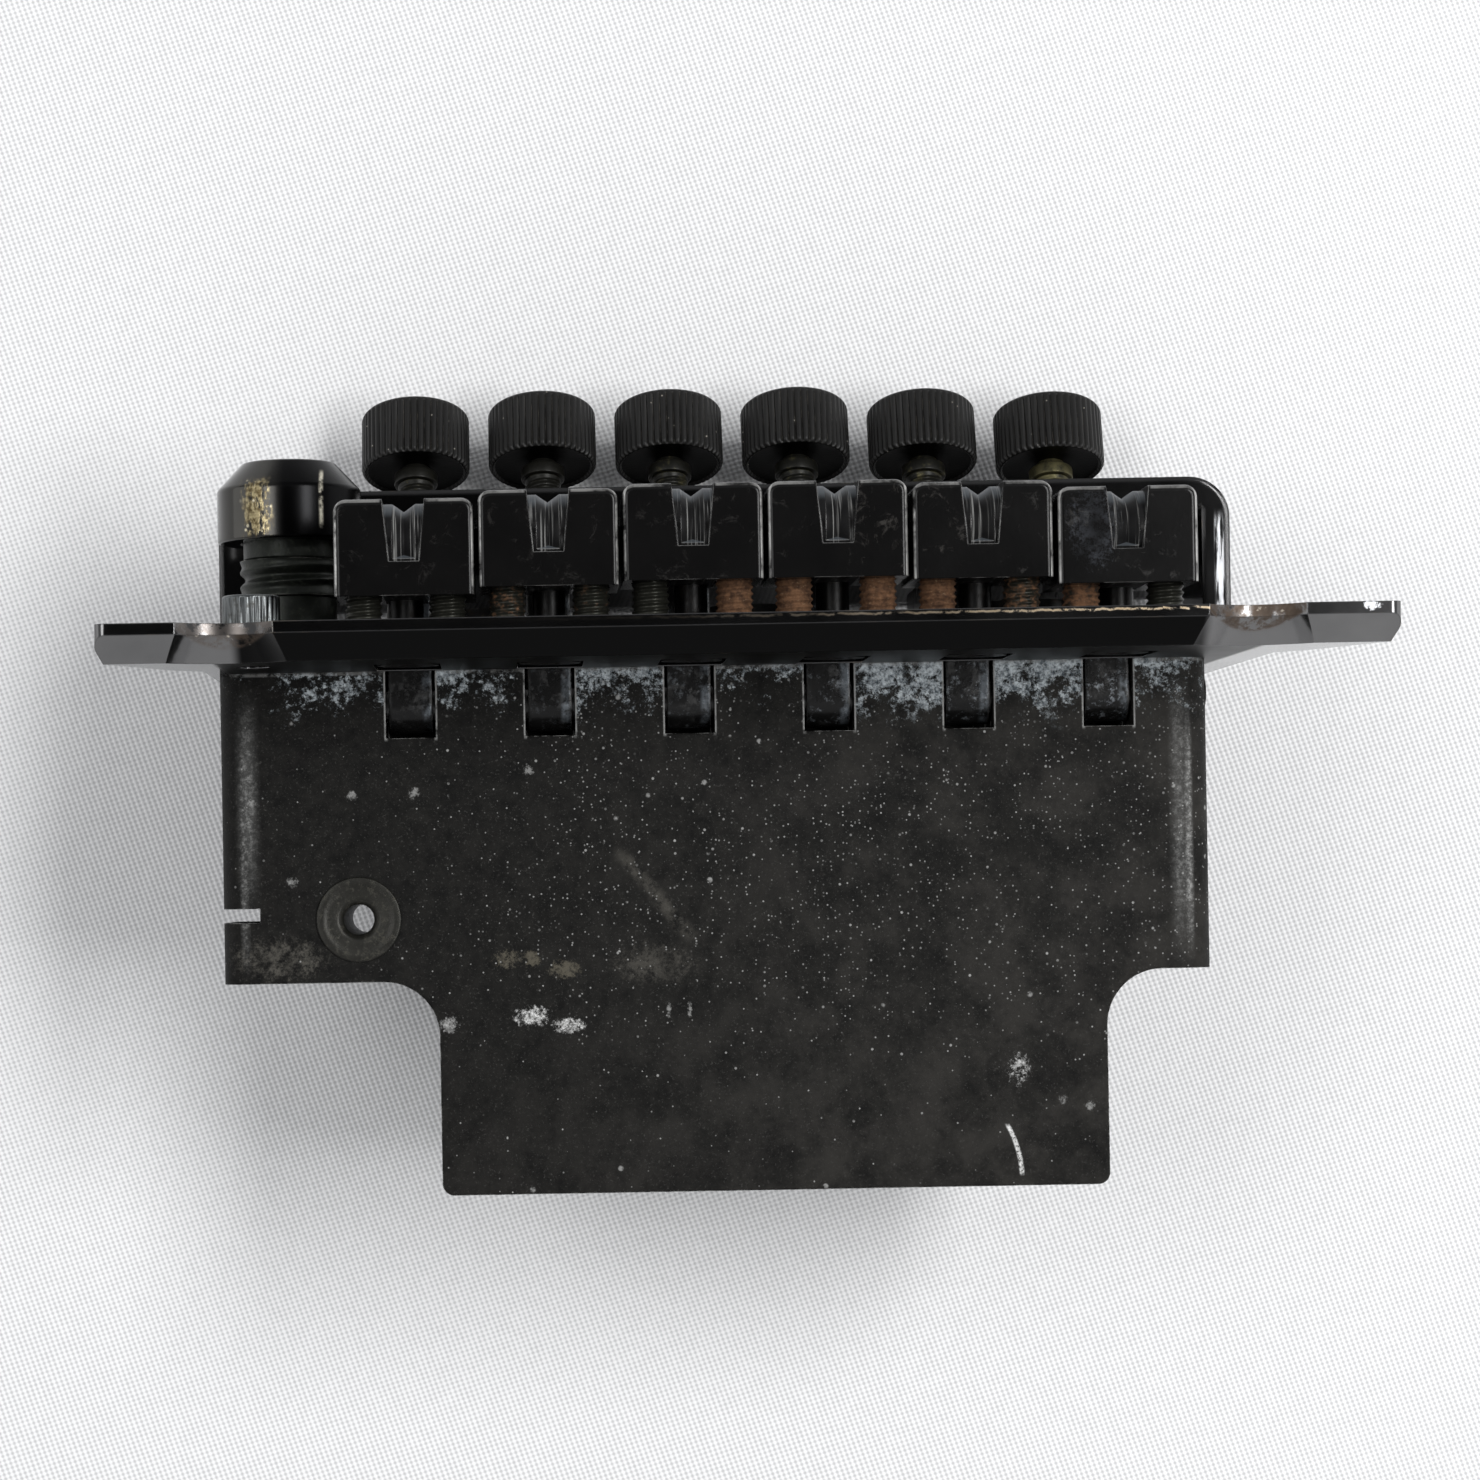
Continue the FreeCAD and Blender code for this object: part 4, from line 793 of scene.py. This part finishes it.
def tuner_knob(number):
    """Knurled head: a profile of radius and height turned about the axis, its side drawn in by
    a depth times a raised cosine of the rib count times the angle."""
    ribs, depth, radius = 48, 0.22, 4.5
    low, high = TUNER_LENGTH + 0.03, TUNER_LENGTH + 5.25
    columns = ribs * 8
    side = rounded(
        [
            (4.0, low + 0.28), (4.2, low), (radius, low + 0.3), (radius, high - 0.3),
            (radius - 0.3, high - 0.02), (2.6, high),
        ],
        0.25, 6,
    )
    r, h = column(side[:, 0]), column(side[:, 1])
    turn = np.linspace(0, 2 * np.pi, columns, endpoint=False)
    wave = (0.5 - 0.5 * np.cos(ribs * turn)) ** 2.4
    share = np.clip((h - low) / 0.3, 0.35, 1) * np.clip((high - 0.25 - h) / 0.35, 0, 1)
    share = share * np.clip((r - 3.9) / 0.4, 0, 1)
    under = rows((2.0, low + 0.5), (2.3, low + 0.5), (3.7, low + 0.34))
    face = rows((2.4, high), (2.25, high - 0.06), (2.1, high), (0.6, high))
    grip = (r - depth * wave * share, h * np.ones(columns))
    return turned(*stack(under, grip, face), tuner_spot(number), TUNER_LEAN)


def tuner_stud(number):
    """Stud: a round tip, a screw thread, a plain collar and a stem in the knob."""
    columns = 48
    tip = np.linspace(0.15, np.pi / 2, 7)
    r, h = thread(1.5, 0.6, 0.22, 1.5, 10.0, columns)
    dome = (column(1.5 * np.sin(tip)), column(1.5 - 1.5 * np.cos(tip)))
    collar = rounded([(1.4, 10.1), (1.8, 10.1), (1.8, 11.08), (1.15, 11.08), (1.15, 14.4)], 0.12)
    return turned(*stack(dome, (r, h), rows(*collar)), tuner_spot(number), TUNER_LEAN)


def height_screw(number, side):
    """Headless screw: a thread with a chamfered foot, and a hexagon socket sunk in its top."""
    columns, low, high = 48, 0.02, 8.52
    spot = (string_x(number) + side * HEIGHT_SCREW_SIDE, SADDLE_FRONT + HEIGHT_SCREW_BACK, 0)
    r, h = thread(1.4, 0.5, 0.17, low + 0.3, high - 0.2, columns)
    hexagon = hex_radius(1.5, columns)[None, :]
    socket = (np.vstack([hexagon * 1.04, hexagon, hexagon * 0.98]), column([high, high - 0.08, high - 1.4]))
    return turned(*stack(rows((0.9, low), (1.15, low)), (r, h), rows((1.2, high)), socket), spot)


def arm_socket():
    """Arm tube: plain above and below, two coarse thread turns between, bored out for the arm."""
    columns = 64
    r, h = thread(3.88, 1.16, 0.42, 3.3, 6.1, columns, 14)
    low = rounded([(2.8, -15.5), (2.8, -16.9), (3.58, -17.0), (3.58, 3.2), (3.46, 3.25)], 0.15)
    high = rounded([(3.46, 6.15), (3.58, 6.25), (3.58, 10.9), (3.4, 11.0), (2.8, 11.0), (2.8, 10.8)], 0.1)
    floor = rows((2.8, -15.4), (1.2, -15.5))
    foot = rows((1.2, -17.0), (2.6, -17.0))
    return turned(*stack(foot, rows(*low[3:]), (r, h), rows(*high), floor), ARM_SPOT)


def arm_collar():
    """Collar: a chamfered ring turned from a closed profile."""
    profile = rounded(
        [
            (3.68, 8.2), (3.68, 7.5), (5.55, 7.5), (5.55, 11.55), (3.55, 13.68), (3.12, 13.68),
            (3.12, 12.62), (3.68, 12.6), (3.68, 9.0),
        ],
        0.22, 6,
    )
    return turned(*rows(*profile), ARM_SPOT)


def clamp_screw():
    """Cap screw: a ribbed head with a hexagon socket, on a plain stem."""
    ribs, radius = 26, 2.14
    columns = ribs * 8
    turn = np.linspace(0, 2 * np.pi, columns, endpoint=False)
    wave = (0.5 - 0.5 * np.cos(ribs * turn)) ** 1.3
    side = rounded([(1.3, 0.02), (radius, 0.02), (radius, 2.48), (1.55, 2.48)], 0.28, 6)
    r, h = column(side[:, 0]), column(side[:, 1])
    share = np.clip((r - 1.7) / 0.35, 0, 1) * np.clip((2.3 - h) / 0.3, 0, 1)
    hexagon = hex_radius(2.0, columns)[None, :]
    socket = (np.vstack([hexagon * 1.05, hexagon, hexagon * 0.98]), column([2.47, 2.4, 1.32]))
    stem = rows((0.8, -2.5), (1.1, -2.5), (1.23, -2.3), (1.23, 0.01))
    head = (r - 0.16 * wave * share, h * np.ones(columns))
    return turned(*stack(stem, head, socket), CLAMP_SPOT)


def rivet():
    """Hollow rivet: a flange with a rolled rim and a dished middle, turned about Y."""
    profile = rounded(
        [
            (1.15, 8.0), (1.15, 0.3), (1.5, -0.1), (2.4, -0.16), (2.75, -0.25), (3.2, -0.22), (3.25, -0.02),
            (1.9, -0.01), (1.9, 15.98), (1.15, 15.98), (1.15, 9.0),
        ],
        0.2, 5,
    )
    return turned(*rows(*profile[::-1]), RIVET_SPOT, math.pi / 2)


for string in STRINGS:
    pair = []
    rust = []
    for side, level in zip((-1, 1), HEIGHT_RUST[string]):
        mesh = grid_mesh("height_screw", height_screw(string, side))
        pair.append(mesh)
        rust += [level] * len(mesh.vertices)
    mesh = merge_meshes(f"height_screws_{string}_thread", pair)
    mark(mesh, "rust", rust)
    add_piece(
        f"height_screw_threads_{string}", mesh, finishes["height_screws"], f"saddle_feet_{string}",
        f"height_screws_{string}",
    )
    mesh = grid_mesh(f"tuner_head_{string}", tuner_knob(string))
    add_piece(
        f"tuner_head_{string}", mesh, finishes["tuner_knob"], f"knob_{string}",
        f"tuner_knob_{string}",
    )
    mesh = grid_mesh(f"tuner_thread_{string}", tuner_stud(string))
    mark(mesh, "brass", [STUD_BRASS[string]] * len(mesh.vertices))
    add_piece(
        f"tuner_thread_{string}", mesh, finishes["tuner_stud"], f"stud_{string}",
        f"tuner_stud_{string}",
    )
add_piece(
    "arm_tube", grid_mesh("arm_tube", arm_socket()), finishes["arm_socket"], "base", "arm_socket",
)
add_piece(
    "arm_cap", grid_mesh("arm_cap", arm_collar(), True), finishes["arm_collar"], "arm_collar",
    "arm_collar",
)
add_piece(
    "clamp_cap", grid_mesh("clamp_cap", clamp_screw()), finishes["arm_clamp_screw"], "base",
    "arm_clamp_screw",
)
add_piece(
    "rivet_eye", grid_mesh("rivet_eye", rivet(), True), finishes["block_rivet"], "base",
    "block_rivet",
)


# Stage, light and camera

def cloth_finish():
    """Pale cloth seen from its front only: a fine twill weave of slanting ribs."""
    f = Finish("stage_cloth")
    rib = f.math("SINE", f.times(f.plus(f.x, f.times(f.z, 0.35)), 2 * math.pi / 0.46))
    pick = f.math("SINE", f.times(f.less(f.z, f.times(f.x, 0.3)), 2 * math.pi / 0.4))
    weave = f.plus(f.times(rib, 0.6), f.times(pick, 0.4), f.times(f.grain(1.2, 3), 0.6))
    folds = f.grain(0.012, 2)
    colour = f.blend(f.step(weave, -0.9, 1.1), (0.63, 0.63, 0.638), (0.985, 0.985, 0.99))
    f.bumped(f.plus(weave, f.times(folds, 2)), 0.07, 0.5)
    f.done(colour, 0.9, 0.0)
    behind = f.tree.nodes.new("ShaderNodeNewGeometry").outputs["Backfacing"]
    clear = f.tree.nodes.new("ShaderNodeBsdfTransparent").outputs[0]
    shown = f.add("ShaderNodeMixShader", 0, {0: behind, 1: f.shader.outputs[0], 2: clear})
    out = next(node for node in f.tree.nodes if node.type == "OUTPUT_MATERIAL")
    f.tree.links.new(shown, out.inputs[0])
    return f.material


def upright(name, corners, finish):
    """A flat stage piece from four corners."""
    mesh = bpy.data.meshes.new(name)
    mesh.from_pydata(corners, [], [(0, 1, 2, 3)])
    mesh.materials.append(finish)
    piece = bpy.data.objects.new(name, mesh)
    bpy.context.scene.collection.objects.link(piece)
    return piece


cloth_corners = [
    (x * CLOTH_REACH, CLOTH_BACK, z * CLOTH_REACH) for x, z in ((-1, -1), (1, -1), (1, 1), (-1, 1))
]
backdrop = upright("stage_cloth", cloth_corners, cloth_finish())


def dark_felt():
    """Black card beside the camera, which black metal mirrors in place of the bright room."""
    f = Finish("stage_felt")
    nap = f.grain(0.8, 5)
    f.bumped(nap, 0.3, 0.5)
    return f.done(f.blend(nap, (0.008, 0.008, 0.008), (0.016, 0.016, 0.016)), 0.95, 0.0)


card_corners = [(x, CARD_BACK, z) for x, z in ((-0.16, -0.15), (-0.16, 0.14), (0.19, 0.14), (0.19, -0.15))]
flag = upright("stage_card", card_corners, dark_felt())
flag.visible_camera = False

world = bpy.data.worlds.new("studio")
bpy.context.scene.world = world
world.use_nodes = True
background = world.node_tree.nodes["Background"]
background.inputs["Color"].default_value = (0.8, 0.81, 0.83, 1)
background.inputs["Strength"].default_value = 0.55


def lamp(name, spot, target, wide, tall, power):
    """A rectangular lamp at a spot, turned to its target."""
    light = bpy.data.lights.new(name, "AREA")
    light.shape = "RECTANGLE"
    light.size, light.size_y = wide, tall
    light.energy = power
    thing = bpy.data.objects.new(name, light)
    aim = Vector(target) - Vector(spot)
    thing.location = spot
    thing.rotation_euler = aim.to_track_quat("-Z", "Y").to_euler()
    bpy.context.scene.collection.objects.link(thing)


lamp("key", (0.29, -0.5, 0.07), (0, 0.03, -0.02), 0.15, 0.4, 2.5)
lamp("treble_fill", (-0.3, -0.5, 0.08), (0, 0.03, -0.02), 0.2, 0.3, 0.7)
lamp("floor_bounce", (0, 0.0, -0.5), (0, 0.0, 0), 0.7, 0.3, 0.4)
lamp("treble_side", (-0.5, -0.02, 0.05), (0, 0.0, 0.0), 0.3, 0.4, 0.35)
lamp("bass_side", (0.5, -0.02, 0.05), (0, 0.0, 0.0), 0.3, 0.4, 0.35)

camera_data = bpy.data.cameras.new("photo_camera")
camera_data.sensor_width = SENSOR_WIDTH
camera_data.lens = SENSOR_WIDTH * FOCAL_PIXELS / FRAME_PIXELS
camera_data.clip_start = 0.01
camera_data.shift_x = 0.5 - VANISHING[0] / FRAME_PIXELS
camera_data.shift_y = VANISHING[1] / FRAME_PIXELS - 0.5
camera = bpy.data.objects.new("photo_camera", camera_data)
camera.location = CAMERA_SPOT
camera.rotation_euler = (math.pi / 2, CAMERA_ROLL, 0)
bpy.context.scene.collection.objects.link(camera)
bpy.context.scene.camera = camera
bpy.context.scene.view_settings.view_transform = "Standard"
